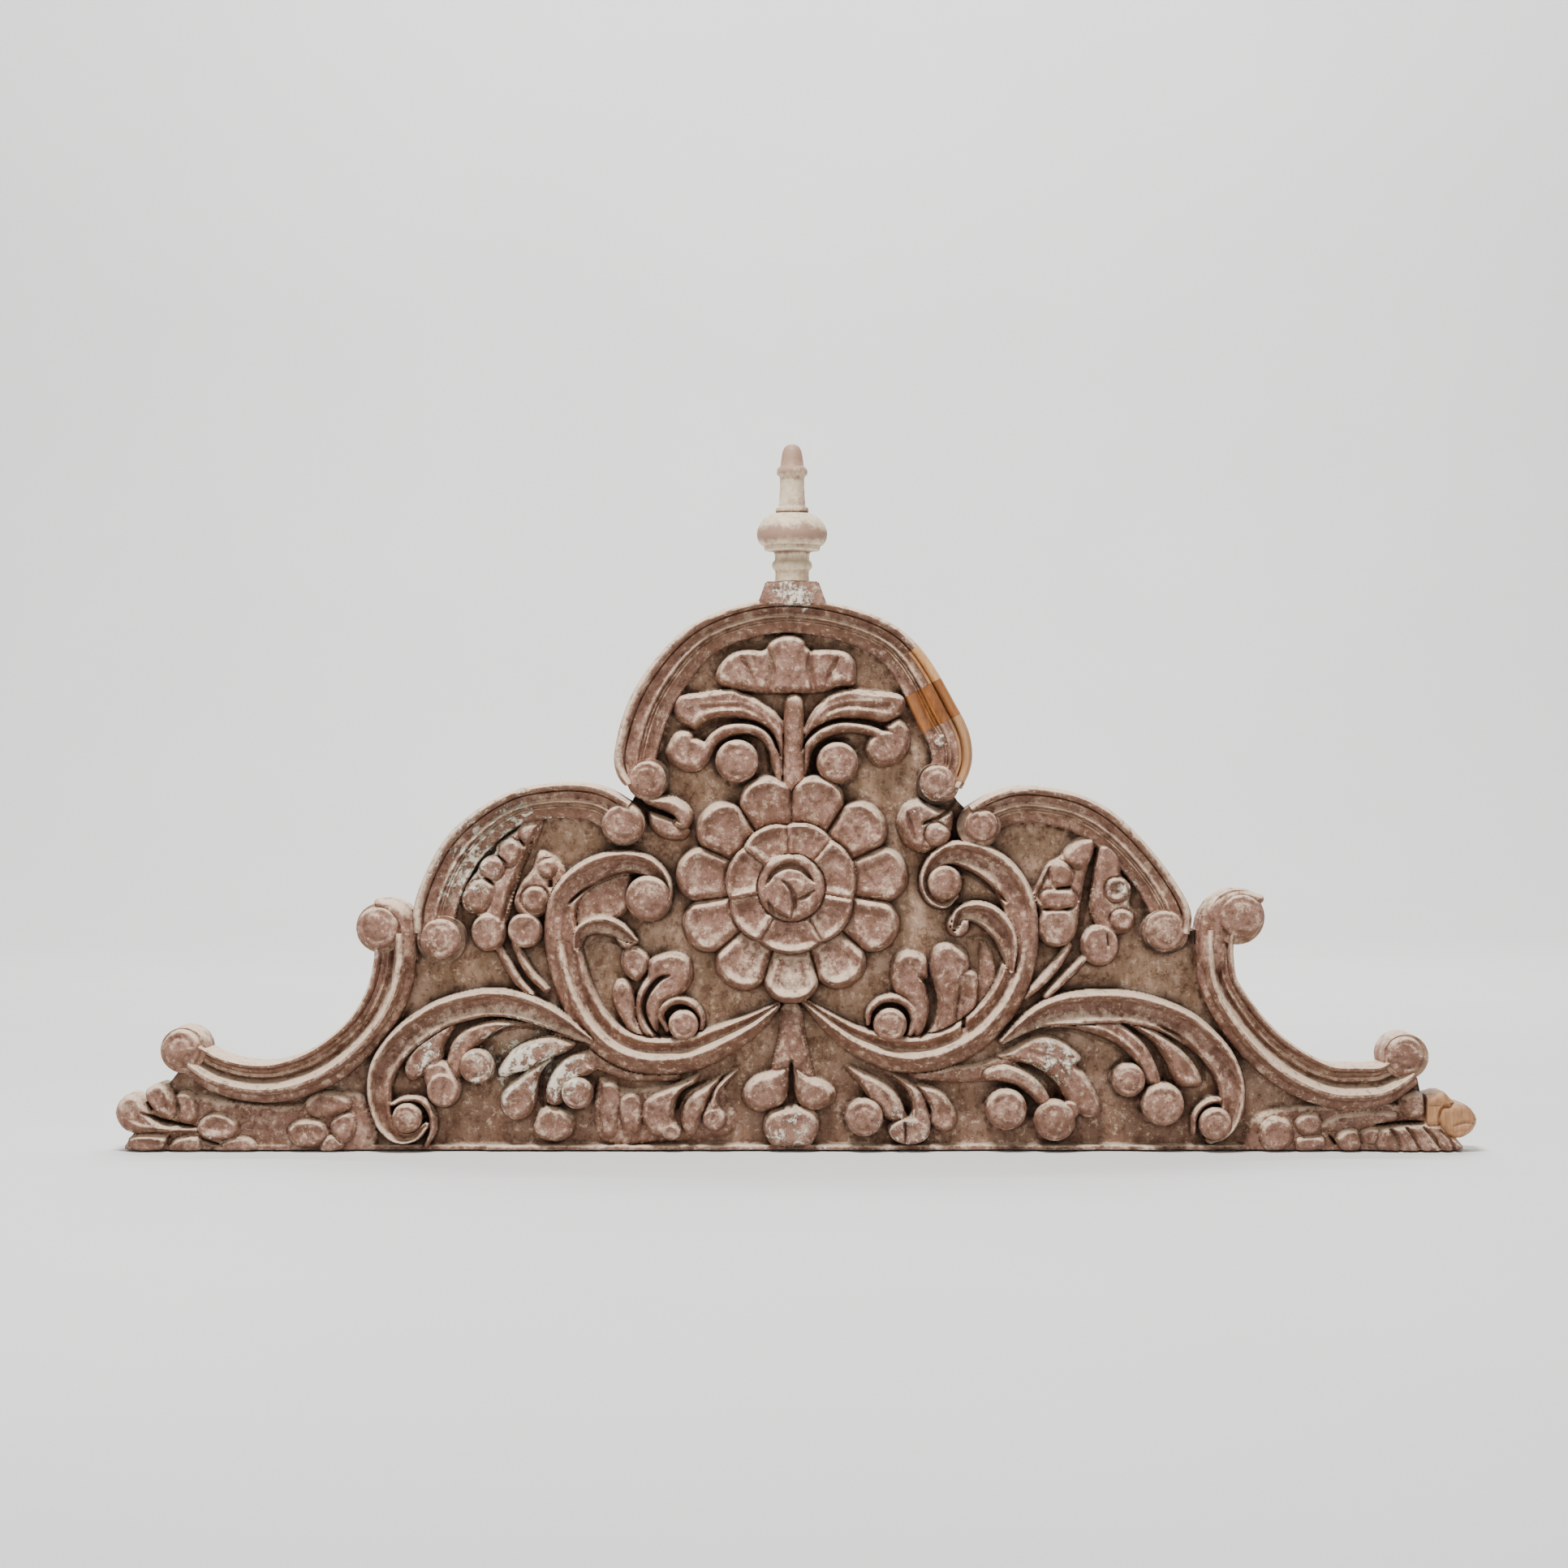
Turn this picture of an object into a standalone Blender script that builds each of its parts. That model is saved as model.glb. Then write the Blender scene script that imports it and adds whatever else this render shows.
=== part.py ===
# Carved over-door crest: one painted softwood board with a scrolled outline, mouldings,
# a rosette, C-scrolls and acanthus leaves in relief, a turned finial on its own pedestal,
# and four new-wood repairs let into the right half.
#
# The carving is drawn on a grid with x to the right and y down. GRID_LENGTH squares make
# PANEL_LENGTH, GRID_CENTRE is the centre line and GRID_BASE is the underside.
# Shapes are first made lying down, with z as the height over the back plane, and then
# stood up: the front faces -Y, the underside is at Z = 0 and +X runs to the right.

import math

import bmesh
import bpy
import numpy as np
from mathutils import Matrix, Vector

# Driving dimensions, in metres
PANEL_LENGTH = 1.300
BOARD_DEPTH = 0.024
MOULDING_RELIEF = 0.030
SCROLL_RELIEF = 0.027
LEAF_RELIEF = 0.021
DISC_RELIEF = 0.031
PETAL_RELIEF = 0.026
RING_RELIEF = 0.031
ROSETTE_RELIEF = 0.036
LEDGE_HEIGHT = 0.0046
LEDGE_DEPTH = 0.040
PEDESTAL_DEPTH = 0.040
PEDESTAL_WIDTH = 0.050
PEDESTAL_FLARE = 0.008
PEDESTAL_HEIGHT = 0.022
FINIAL_HEIGHT = 0.1314
FINIAL_BALL_RADIUS = 0.0337
REPAIR_DEPTH = 0.038
FINIAL_CLEARANCE = 0.0008
EDGE_STRIP_SHARE = 0.34
JOINT_GAP = 0.0003

# Fineness of the carved surface
VOXELS_PER_LENGTH = 560
PANEL_TRIANGLES = 10000
TURNED_STEPS = 24
SPAN_STEPS = 6
OUTLINE_STEP = 3
CUSHION_STEPS = (24, 14)
RING_POINTS = 4

# The drawing grid
GRID_LENGTH = 1682
GRID_CENTRE = 975
GRID_BASE = 1418
SQUARE = PANEL_LENGTH / GRID_LENGTH

OBJECT_NAME = "carved_door_crest"
BACK_Y = LEDGE_DEPTH / 2
BELOW_BACK = -0.006
SUNK = BOARD_DEPTH * 0.5
CEILING = BOARD_DEPTH + MOULDING_RELIEF * 2
STEM_SHARE = 0.7

# How far the tops of the rounded forms are flattened
DISC_FLATNESS = 0.3
LEAF_FLATNESS = 0.5
BUD_FLATNESS = 0.7
RIM_SHARE = 0.70
RIM_GAP = 2

# Cross-sections from the outer edge (0) to the inner edge (1): share of the relief there
MOULDING_SECTION = ((0.0, 0.80), (0.04, 0.93), (0.12, 1.0), (0.22, 0.97), (0.27, 0.74), (0.32, 0.76),
                    (0.44, 0.68), (0.56, 0.76), (0.61, 0.71), (0.66, 0.75), (0.73, 0.58),
                    (0.85, 0.46), (0.94, 0.50), (1.0, 0.40))
EAR_SECTION = ((0.0, 0.80), (0.05, 0.86), (0.13, 0.84), (0.17, 0.66), (0.30, 0.60), (0.36, 0.66),
               (0.44, 0.56), (0.54, 0.58), (0.64, 0.80), (0.72, 1.0), (0.84, 0.98), (1.0, 0.70))
UPPER_SCROLL_SECTION = ((0.0, 0.22), (0.10, 0.40), (0.24, 0.56), (0.36, 0.92), (0.46, 1.0), (0.57, 0.92),
                        (0.66, 0.56), (0.76, 0.60), (0.84, 0.80), (0.93, 0.74), (1.0, 0.40))
SCROLL_SECTION = ((0.0, 0.62), (0.08, 0.88), (0.2, 1.0), (0.33, 0.92), (0.5, 0.66), (0.68, 0.64),
                  (0.82, 0.80), (0.93, 0.74), (1.0, 0.52))
LEAF_SECTION = ((0.0, 0.45), (0.12, 0.86), (0.28, 1.0), (0.44, 0.84), (0.5, 0.70), (0.56, 0.84),
                (0.72, 1.0), (0.88, 0.86), (1.0, 0.45))
ROUND_SECTION = ((0.0, 0.35), (0.12, 0.72), (0.3, 0.94), (0.5, 1.0), (0.7, 0.94), (0.88, 0.72),
                 (1.0, 0.35))

# Frame mouldings: points on the middle line with the width there; the outer edge is on the
# left of the way they are read
ARCH = ((790, 962, 44), (783, 930, 52), (809, 854, 52), (873, 783, 45), (977, 758, 43),
        (1095, 792, 45), (1157, 885, 52), (1173, 930, 50), (1164, 966, 44))
LEFT_SHOULDER = ((534, 1150, 48), (536, 1120, 52), (550, 1080, 50), (570, 1046, 50), (600, 1017, 46),
                 (634, 996, 43), (668, 988, 44), (706, 986, 46), (739, 992, 47), (765, 1008, 48))
RIGHT_SHOULDER = ((1205, 1012, 44), (1228, 999, 44), (1258, 991, 46), (1298, 994, 46),
                  (1332, 1004, 46), (1362, 1022, 46), (1394, 1052, 44), (1424, 1090, 44),
                  (1443, 1126, 48), (1442, 1148, 48))
LEFT_EAR = ((236, 1306, 44), (266, 1324, 48), (305, 1334, 50), (347, 1333, 52), (395, 1316, 52),
            (435, 1286, 50), (463, 1253, 50), (479, 1219, 50), (486, 1185, 50), (486, 1150, 48))
RIGHT_EAR = ((1497, 1146, 46), (1497, 1180, 46), (1503, 1215, 46), (1524, 1252, 50),
             (1556, 1290, 52), (1595, 1320, 54), (1635, 1338, 54), (1672, 1341, 56),
             (1706, 1337, 52), (1738, 1318, 46))
MOULDINGS = ((LEFT_EAR, EAR_SECTION), (LEFT_SHOULDER, MOULDING_SECTION), (ARCH, MOULDING_SECTION),
             (RIGHT_SHOULDER, MOULDING_SECTION), (RIGHT_EAR, EAR_SECTION))

# What closes the board's outline between the mouldings and the underside
LEFT_FOOT = ((168, 1418), (168, 1400), (156, 1386), (158, 1362), (196, 1344), (222, 1312))
RIGHT_FOOT = ((1752, 1330), (1760, 1356), (1772, 1372), (1772, 1390), (1796, 1396), (1796, 1418))

# C-scrolls, read the same way
UPPER_SCROLLS = (
    # left, without its upper curl
    ((958, 1240, 8), (928, 1262, 26), (889, 1283, 40), (844, 1299, 45), (792, 1301, 47),
     (754, 1285, 46), (726, 1257, 44), (706, 1222, 42), (696, 1186, 41), (689, 1156, 39),
     (686, 1126, 34)),
    # right, spiral end first
    ((1178, 1104, 10), (1164, 1114, 13), (1148, 1107, 15), (1141, 1090, 17), (1146, 1071, 19),
     (1160, 1055, 22), (1181, 1048, 26), (1211, 1056, 32), (1239, 1078, 36), (1256, 1108, 38),
     (1261, 1149, 38), (1257, 1186, 40), (1244, 1222, 42), (1220, 1256, 44), (1188, 1282, 46),
     (1143, 1299, 46), (1098, 1298, 44), (1055, 1282, 34), (1022, 1260, 22), (992, 1236, 8)),
)
SCROLLS = (
    # upper curl of the upper left one
    ((688, 1130, 16), (692, 1108, 22), (709, 1087, 24), (731, 1071, 26), (758, 1062, 27),
     (783, 1062, 27), (804, 1072, 24), (817, 1092, 22), (816, 1114, 18), (800, 1130, 12)),
    # lower left, volute first
    ((514, 1396, 12), (494, 1400, 18), (476, 1386, 24), (468, 1361, 28), (467, 1338, 30),
     (472, 1317, 33), (484, 1297, 34), (502, 1278, 33), (524, 1261, 31), (546, 1250, 29),
     (572, 1242, 27), (600, 1238, 26), (630, 1238, 24), (658, 1247, 21), (690, 1262, 16),
     (724, 1276, 8)),
    # lower right
    ((1238, 1284, 8), (1262, 1264, 14), (1287, 1249, 20), (1316, 1240, 24), (1359, 1237, 26),
     (1397, 1239, 28), (1432, 1246, 30), (1460, 1260, 32), (1484, 1279, 34), (1503, 1301, 34),
     (1516, 1327, 32), (1521, 1353, 30), (1519, 1376, 26), (1510, 1394, 20), (1494, 1404, 14)),
)

# Leaf blades with a hollow midrib, and round stems
BLADES = (
    # upper pair over the rosette, outer leaf and curl
    ((972, 962, 14), (964, 925, 24), (950, 896, 30), (922, 875, 36), (885, 870, 38), (846, 874, 30)),
    ((964, 982, 14), (955, 942, 18), (940, 916, 20), (909, 903, 22), (880, 912, 26), (860, 930, 30)),
    ((982, 962, 14), (990, 925, 24), (1004, 896, 30), (1032, 878, 36), (1068, 873, 38), (1102, 872, 30)),
    ((990, 982, 14), (1000, 944, 18), (1014, 920, 20), (1042, 908, 22), (1070, 914, 26), (1092, 930, 30)),
    # second curls and inner leaves of the upper scrolls
    ((720, 1154, 20), (738, 1146, 28), (757, 1148, 28), (770, 1158, 18)),
    ((1182, 1136, 20), (1202, 1134, 30), (1221, 1145, 26), (1235, 1163, 20), (1241, 1186, 10)),
    ((778, 1192, 18), (800, 1190, 20), (826, 1188, 24), (843, 1202, 20), (838, 1222, 14)),
    ((772, 1198, 14), (762, 1224, 22), (766, 1254, 20), (788, 1276, 10)),
    ((836, 1218, 12), (820, 1234, 18), (820, 1260, 18), (836, 1282, 10)),
    ((1154, 1222, 16), (1160, 1248, 20), (1146, 1272, 16), (1122, 1284, 8)),
    ((1136, 1222, 12), (1118, 1232, 16), (1122, 1262, 14), (1110, 1284, 8)),
    # leaf bands inside the lower scrolls
    ((686, 1272, 10), (640, 1262, 22), (608, 1262, 24), (580, 1276, 24), (562, 1296, 20)),
    ((553, 1256, 10), (551, 1292, 16), (546, 1322, 20)),
    ((690, 1282, 10), (652, 1292, 20), (618, 1318, 20)),
    ((720, 1296, 8), (692, 1310, 16), (677, 1338, 18), (688, 1366, 16)),
    ((700, 1292, 16), (745, 1304, 28), (786, 1318, 28), (830, 1322, 16)),
    ((834, 1330, 10), (816, 1354, 28), (806, 1380, 30), (806, 1404, 16)),
    ((884, 1322, 12), (864, 1348, 26), (850, 1374, 24), (836, 1396, 14)),
    ((902, 1312, 10), (888, 1344, 18), (880, 1372, 18)),
    ((1048, 1312, 10), (1066, 1340, 18), (1068, 1370, 20)),
    ((1070, 1318, 12), (1100, 1344, 26), (1116, 1372, 24), (1122, 1396, 18)),
    ((1120, 1322, 12), (1146, 1344, 26), (1160, 1366, 26), (1164, 1392, 14)),
    ((1128, 1318, 14), (1180, 1320, 28), (1222, 1318, 26), (1250, 1300, 12)),
    ((1226, 1322, 12), (1240, 1344, 20), (1240, 1366, 18)),
    ((1248, 1290, 16), (1292, 1298, 40), (1318, 1320, 42), (1338, 1358, 32)),
    ((1262, 1312, 12), (1284, 1334, 22), (1298, 1356, 24), (1300, 1384, 20)),
    ((1288, 1272, 10), (1333, 1268, 22), (1368, 1282, 24), (1392, 1304, 22), (1400, 1324, 18)),
    ((1424, 1268, 10), (1430, 1300, 18), (1434, 1340, 20)),
    ((1442, 1272, 10), (1460, 1298, 24), (1472, 1330, 26)),
    # hanging pair of the pendant
    ((968, 1256, 10), (964, 1296, 22), (946, 1332, 28)),
    ((984, 1256, 10), (990, 1296, 22), (1004, 1336, 28)),
    # midribs of the shoulder leaves
    ((668, 1012, 8), (648, 1060, 16), (634, 1104, 20), (622, 1146, 22)),
    ((1350, 1034, 8), (1346, 1070, 16), (1340, 1112, 20), (1332, 1156, 22)),
)
STEMS = (
    ((616, 1166, 10), (630, 1194, 12), (652, 1222, 10)),
    ((636, 1166, 10), (652, 1190, 12), (672, 1214, 10)),
    ((1328, 1170, 10), (1312, 1198, 12), (1288, 1226, 10)),
    ((1346, 1182, 10), (1332, 1202, 12), (1312, 1226, 10)),
    ((977, 1250, 16), (976, 1290, 14), (976, 1326, 10)),
    ((158, 1386, 20), (196, 1392, 18), (244, 1396, 14)),
)

# Discs that end the mouldings, scrolls and leaves: x, y, radius
DISCS = (
    (798, 960, 23), (1154, 965, 23), (1161, 911, 17),
    (768, 1015, 25), (544, 1155, 25), (1210, 1016, 20), (1434, 1146, 24),
    (465, 1143, 26), (225, 1291, 25), (1528, 1128, 28), (1730, 1301, 25),
    (841, 926, 24), (1097, 918, 26), (908, 938, 28), (1032, 940, 27),
    (824, 1009, 24), (1140, 1020, 29),
    (799, 1107, 31), (1164, 1087, 23), (842, 1263, 21), (1097, 1263, 22),
    (501, 1378, 21), (1498, 1385, 24), (587, 1314, 22), (545, 1341, 24), (711, 1347, 22),
    (1392, 1330, 21), (1435, 1361, 26), (1065, 1377, 24), (1238, 1367, 25), (1299, 1381, 24),
    (937, 1343, 24), (1010, 1350, 24), (975, 1390, 29),
    (601, 1149, 22), (645, 1144, 20), (1304, 1146, 22), (1357, 1167, 23), (881, 1377, 15),
)
# Rims that wrap round the discs at the ends of the mouldings: x, y, radius of the rim
RIMS = (
    (798, 960, 27), (1156, 966, 27), (768, 1015, 28), (544, 1158, 31), (1206, 1018, 28),
    (1436, 1148, 29), (470, 1143, 32), (226, 1294, 29), (1522, 1132, 33), (1732, 1302, 29),
)
# Swelling lobes of the leaves: x, y, half-width, half-height, turn in degrees, share of relief
LOBES = (
    # left end, then right end
    (158, 1374, 18, 25, 10, 1.0), (193, 1358, 14, 25, 25, 1.0), (220, 1357, 14, 24, 20, 0.9),
    (181, 1410, 25, 12, 0, 0.9), (225, 1411, 19, 11, 0, 0.9), (266, 1392, 26, 18, 0, 1.0),
    (291, 1411, 21, 12, 0, 0.85), (402, 1360, 29, 13, 10, 1.0), (379, 1396, 26, 18, 15, 1.0),
    (406, 1411, 14, 11, 0, 0.8), (420, 1388, 18, 22, -20, 0.9),
    (1573, 1397, 19, 21, -15, 1.0), (1611, 1386, 18, 15, 0, 0.9), (1615, 1410, 18, 12, 0, 0.85),
    (1744, 1361, 15, 15, 0, 0.9), (1663, 1406, 14, 15, 0, 0.9), (1690, 1403, 15, 16, 0, 0.85),
    (1720, 1404, 17, 16, 0, 0.9), (1746, 1405, 11, 16, -30, 0.9), (1765, 1406, 11, 15, -30, 0.9),
    (1783, 1407, 12, 13, -30, 0.8),
    # tips of the upper pair
    (842, 872, 18, 20, 0, 0.95), (1104, 870, 18, 20, 0, 0.95),
    # lobes inside the upper scrolls
    (781, 1186, 20, 21, 0, 1.0), (1121, 1198, 24, 28, 0, 1.0), (1168, 1216, 24, 58, 5, 1.0),
    (1191, 1234, 11, 33, -10, 0.8), (770, 1162, 11, 11, 0, 1.0), (1180, 1140, 12, 12, 0, 1.0),
    # lobes inside the lower scrolls
    (516, 1303, 17, 28, 15, 0.9), (640, 1349, 26, 38, 8, 1.0), (678, 1387, 24, 20, 0, 0.9),
    (827, 1395, 17, 13, 0, 0.9), (806, 1388, 17, 18, 0, 0.9), (1121, 1394, 28, 24, 0, 1.0),
    (1161, 1372, 18, 23, 0, 0.95), (1470, 1322, 15, 19, 0, 1.0),
    # shoulder leaves
    (651, 1028, 14, 15, -30, 0.95), (627, 1047, 14, 17, -35, 0.95), (607, 1068, 16, 16, -35, 0.95),
    (590, 1103, 17, 22, -20, 0.95), (675, 1071, 14, 14, 0, 0.9), (656, 1108, 22, 19, 0, 0.95),
    (1311, 1077, 17, 18, 0, 0.95), (1302, 1109, 20, 15, 0, 0.95), (1380, 1095, 15, 15, 0, 0.9),
    (1382, 1133, 14, 18, 0, 0.95), (1334, 1056, 14, 16, 20, 0.9), (1362, 1062, 13, 15, -20, 0.9),
)

# Three-lobed shell under the top of the arch: x, half-width, top; all cut flat at SHELL_BASE
SHELL_LOBES = ((918, 30, 797), (975, 33, 783), (1030, 28, 798))
SHELL_BASE = 851
SHELL_LIP = 14

# Rosette
ROSETTE_CENTRE = (975, 1094)
PETAL_COUNT = 11
PETAL_RADIUS = 108
PETAL_HALF_LENGTH = 36
PETAL_HALF_WIDTH = 36
FIRST_PETAL_DEGREES = 270
RING_RADIUS = 63
RING_WIDTH = 38
RING_SEGMENTS = 7
RING_CUT_DEGREES = 5
BUD_RADIUS = 43

# Repairs: how much of the arch's length each takes, one above the other from its right foot
FOOT_LEFT_OLD = 0.015
LOWER_STRIP_LENGTH = 0.107
BLOCK_LENGTH = 0.078
UPPER_STRIP_LENGTH = 0.070
SLOT_OVERRUN = 0.12
TIP_JOINT = 1758
TIP_LOBE = (1772, 1378, 50, 29)

FINIAL_X = 976
PEDESTAL_TOP = 717

# Turned finial: share of the height from the top, share of the ball's radius
FINIAL_PROFILE = (
    (0.0, 0.0), (0.0, 0.14), (0.035, 0.25), (0.16, 0.33), (0.175, 0.42), (0.225, 0.42), (0.245, 0.345),
    (0.46, 0.38), (0.465, 0.45), (0.50, 0.45), (0.505, 0.60), (0.54, 0.78), (0.59, 0.93), (0.653, 1.0),
    (0.70, 0.965), (0.735, 0.86), (0.738, 0.78), (0.772, 0.78), (0.778, 0.52), (0.845, 0.49),
    (0.855, 0.55), (0.905, 0.55), (0.925, 0.475), (1.0, 0.475), (1.0, 0.0),
)

COLOURS = {
    "worn_paint": ((0.27, 0.15, 0.125), 0.62),
    "cream_paint": ((0.70, 0.60, 0.44), 0.55),
    "new_wood": ((0.50, 0.25, 0.10), 0.50),
    "dark_new_wood": ((0.28, 0.105, 0.035), 0.50),
}


def grid(x, y):
    return (x - GRID_CENTRE) * SQUARE, (GRID_BASE - y) * SQUARE


def smooth_line(points, span_steps=SPAN_STEPS):
    """A smooth line through points of any number of values, as an array of samples."""
    first, last = np.array(points[:2], float), np.array(points[-2:], float)
    knots = np.array([2 * first[0] - first[1], *points, 2 * last[1] - last[0]], float)
    samples = []
    for before, start, end, after in zip(knots, knots[1:], knots[2:], knots[3:]):
        for step in range(span_steps):
            t = step / span_steps
            samples.append(0.5 * (2 * start + (end - before) * t
                                  + (2 * before - 5 * start + 4 * end - after) * t ** 2
                                  + (3 * start - before - 3 * end + after) * t ** 3))
    samples.append(knots[-2])
    return np.array(samples)


def line_in_metres(points):
    """Middle line and widths of a band, smoothed and scaled from the grid."""
    line = smooth_line(points)
    x, y = grid(line[:, 0], line[:, 1])
    return np.column_stack((x, y)), line[:, 2] * SQUARE


def part_of_line(line, widths, start, end):
    """The stretch between two shares of the line's length, ends worked out exactly."""
    steps = np.linalg.norm(np.diff(line, axis=0), axis=1)
    along = np.concatenate(([0.0], np.cumsum(steps))) / steps.sum()
    places = np.concatenate(([start], along[(along > start) & (along < end)], [end]))
    return (np.column_stack([np.interp(places, along, line[:, axis]) for axis in (0, 1)]),
            np.interp(places, along, widths))


def loft(body, line, widths, section, floor, across=(0.0, 1.0), grow=0.0):
    """Adds a closed band to a bmesh: section is read across the width, floor is its bottom."""
    way = np.gradient(line, axis=0)
    way /= np.linalg.norm(way, axis=1)[:, None]
    line = line.copy()
    line[0] -= way[0] * grow
    line[-1] += way[-1] * grow
    outward = np.column_stack((-way[:, 1], way[:, 0]))
    shares = [t for t, _ in section]
    heights = [z for _, z in section]
    places = [t for t in shares if across[0] < t < across[1]]
    places = [across[0], *places, across[1]]
    rings = []
    for centre, side, width in zip(line, outward, widths):
        ring = []
        for index, t in enumerate(places):
            slack = {0: grow, len(places) - 1: -grow}.get(index, 0.0)
            x, y = centre + side * ((0.5 - t) * width + slack)
            ring.append(body.verts.new((x, y, float(np.interp(t, shares, heights)))))
        for index in (len(places) - 1, 0):
            x, y, _ = ring[index].co
            ring.append(body.verts.new((x, y, floor)))
        rings.append(ring)
    count = len(rings[0])
    for ring, following in zip(rings, rings[1:]):
        for index in range(count):
            other = (index + 1) % count
            body.faces.new((ring[index], ring[other], following[other], following[index]))
    body.faces.new(reversed(rings[0]))
    body.faces.new(rings[-1])


def relief_section(section, relief):
    return [(t, BOARD_DEPTH + share * relief) for t, share in section]


def band(body, points, section, relief, floor=SUNK):
    line, widths = line_in_metres(points)
    loft(body, line, widths, relief_section(section, relief), floor)


def cushion(flatness):
    """A unit ball whose top and bottom are flattened: 1 is a ball, 0 would be a cylinder."""
    form = bmesh.new()
    bmesh.ops.create_uvsphere(form, u_segments=CUSHION_STEPS[0], v_segments=CUSHION_STEPS[1], radius=1.0)
    for vert in form.verts:
        vert.co.z = math.copysign(abs(vert.co.z) ** flatness, vert.co.z)
    mesh = bpy.data.meshes.new("cushion")
    form.to_mesh(mesh)
    form.free()
    return mesh


def dome(body, form, x, y, half_width, half_height, top, turn=0.0, centre=SUNK):
    """A cushion whose top is at the height top and whose middle is at the height centre."""
    place = Matrix.Translation((*grid(x, y), centre)) @ Matrix.Rotation(math.radians(turn), 4, "Z")
    placed = form.copy()
    placed.transform(place @ Matrix.Diagonal((half_width * SQUARE, half_height * SQUARE, top - centre, 1.0)))
    body.from_mesh(placed)
    bpy.data.meshes.remove(placed)


def block(body, low, high):
    size = Vector(high) - Vector(low)
    place = Matrix.Translation((Vector(high) + Vector(low)) / 2) @ Matrix.Diagonal((*size, 1.0))
    return bmesh.ops.create_cube(body, size=1.0, matrix=place)


def add_board(body):
    """The ground board: its outline runs along the middle of the mouldings."""
    outline = [grid(x, y) for x, y in LEFT_FOOT]
    for moulding, _ in MOULDINGS:
        outline += [tuple(point) for point in line_in_metres(moulding)[0][::OUTLINE_STEP]]
    outline += [grid(x, y) for x, y in RIGHT_FOOT]
    # the board is made a little too long below, and is cut off flat later
    outline[0] = (outline[0][0], BELOW_BACK)
    outline[-1] = (outline[-1][0], BELOW_BACK)
    lower = [body.verts.new((x, y, BELOW_BACK)) for x, y in outline]
    upper = [body.verts.new((x, y, BOARD_DEPTH)) for x, y in outline]
    body.faces.new(reversed(lower))
    body.faces.new(upper)
    for index in range(len(outline)):
        other = (index + 1) % len(outline)
        body.faces.new((lower[index], lower[other], upper[other], upper[index]))


def add_ledge(body):
    left, right = LEFT_FOOT[0][0], RIGHT_FOOT[-1][0]
    block(body, (grid(left, 0)[0], BELOW_BACK, BELOW_BACK), (grid(right, 0)[0], LEDGE_HEIGHT, LEDGE_DEPTH))


def add_frame(body):
    disc = cushion(DISC_FLATNESS)
    for moulding, section in MOULDINGS:
        band(body, moulding, section, MOULDING_RELIEF, floor=BELOW_BACK)
    for x, y, radius in RIMS:
        dome(body, disc, x, y, radius, radius, BOARD_DEPTH + MOULDING_RELIEF * RIM_SHARE, centre=BELOW_BACK)
    for x, y, radius in DISCS:
        dome(body, disc, x, y, radius - RIM_GAP, radius - RIM_GAP, BOARD_DEPTH + DISC_RELIEF)


def add_leaves(body):
    form = cushion(LEAF_FLATNESS)
    for points in UPPER_SCROLLS:
        band(body, points, UPPER_SCROLL_SECTION, SCROLL_RELIEF)
    for points in SCROLLS:
        band(body, points, SCROLL_SECTION, SCROLL_RELIEF)
    for points in BLADES:
        band(body, points, LEAF_SECTION, LEAF_RELIEF)
    for points in STEMS:
        band(body, points, ROUND_SECTION, LEAF_RELIEF * STEM_SHARE)
    for x, y, half_width, half_height, turn, share in LOBES:
        dome(body, form, x, y, half_width, half_height, BOARD_DEPTH + LEAF_RELIEF * share, turn)


def add_shell(body):
    form = cushion(LEAF_FLATNESS)
    for x, half_width, top in SHELL_LOBES:
        lobe = bmesh.new()
        middle = SHELL_BASE - SHELL_LIP
        dome(lobe, form, x, middle, half_width, middle - top, BOARD_DEPTH + LEAF_RELIEF)
        bmesh.ops.bisect_plane(lobe, geom=[*lobe.verts, *lobe.edges, *lobe.faces],
                               plane_co=(0, grid(0, SHELL_BASE)[1], 0), plane_no=(0, -1, 0), clear_outer=True)
        bmesh.ops.holes_fill(lobe, edges=[edge for edge in lobe.edges if edge.is_boundary])
        copy_into(body, lobe)


def add_rosette(body):
    """Petals standing on end, a ring of short arcs inside them and a bud in the middle."""
    x, y = ROSETTE_CENTRE
    disc = cushion(DISC_FLATNESS)
    for index in range(PETAL_COUNT):
        angle = math.radians(FIRST_PETAL_DEGREES + index * 360 / PETAL_COUNT)
        dome(body, disc, x + PETAL_RADIUS * math.cos(angle), y - PETAL_RADIUS * math.sin(angle),
             PETAL_HALF_LENGTH, PETAL_HALF_WIDTH, BOARD_DEPTH + PETAL_RELIEF, math.degrees(angle))
    for index in range(RING_SEGMENTS):
        start = index * 360 / RING_SEGMENTS + RING_CUT_DEGREES
        angles = np.radians(np.linspace(start, start + 360 / RING_SEGMENTS - RING_CUT_DEGREES, RING_POINTS))
        arc = [(x + RING_RADIUS * math.cos(angle), y + RING_RADIUS * math.sin(angle), RING_WIDTH)
               for angle in angles]
        band(body, arc, ROUND_SECTION, RING_RELIEF)
    dome(body, cushion(BUD_FLATNESS), x, y, BUD_RADIUS, BUD_RADIUS, BOARD_DEPTH + ROSETTE_RELIEF)


def add_pedestal(body):
    """A flared block between the arch and the finial, a little too high, cut flat later."""
    x, top = grid(FINIAL_X, PEDESTAL_TOP)
    low = top - PEDESTAL_HEIGHT
    half_width, half_depth = PEDESTAL_WIDTH / 2, PEDESTAL_DEPTH / 2
    made = block(body, (x - half_width, low, finial_axis_height() - half_depth),
                 (x + half_width, top - BELOW_BACK, finial_axis_height() + half_depth))
    for vert in made["verts"]:
        if vert.co.y < top:
            vert.co.x += math.copysign(PEDESTAL_FLARE, vert.co.x - x)


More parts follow.
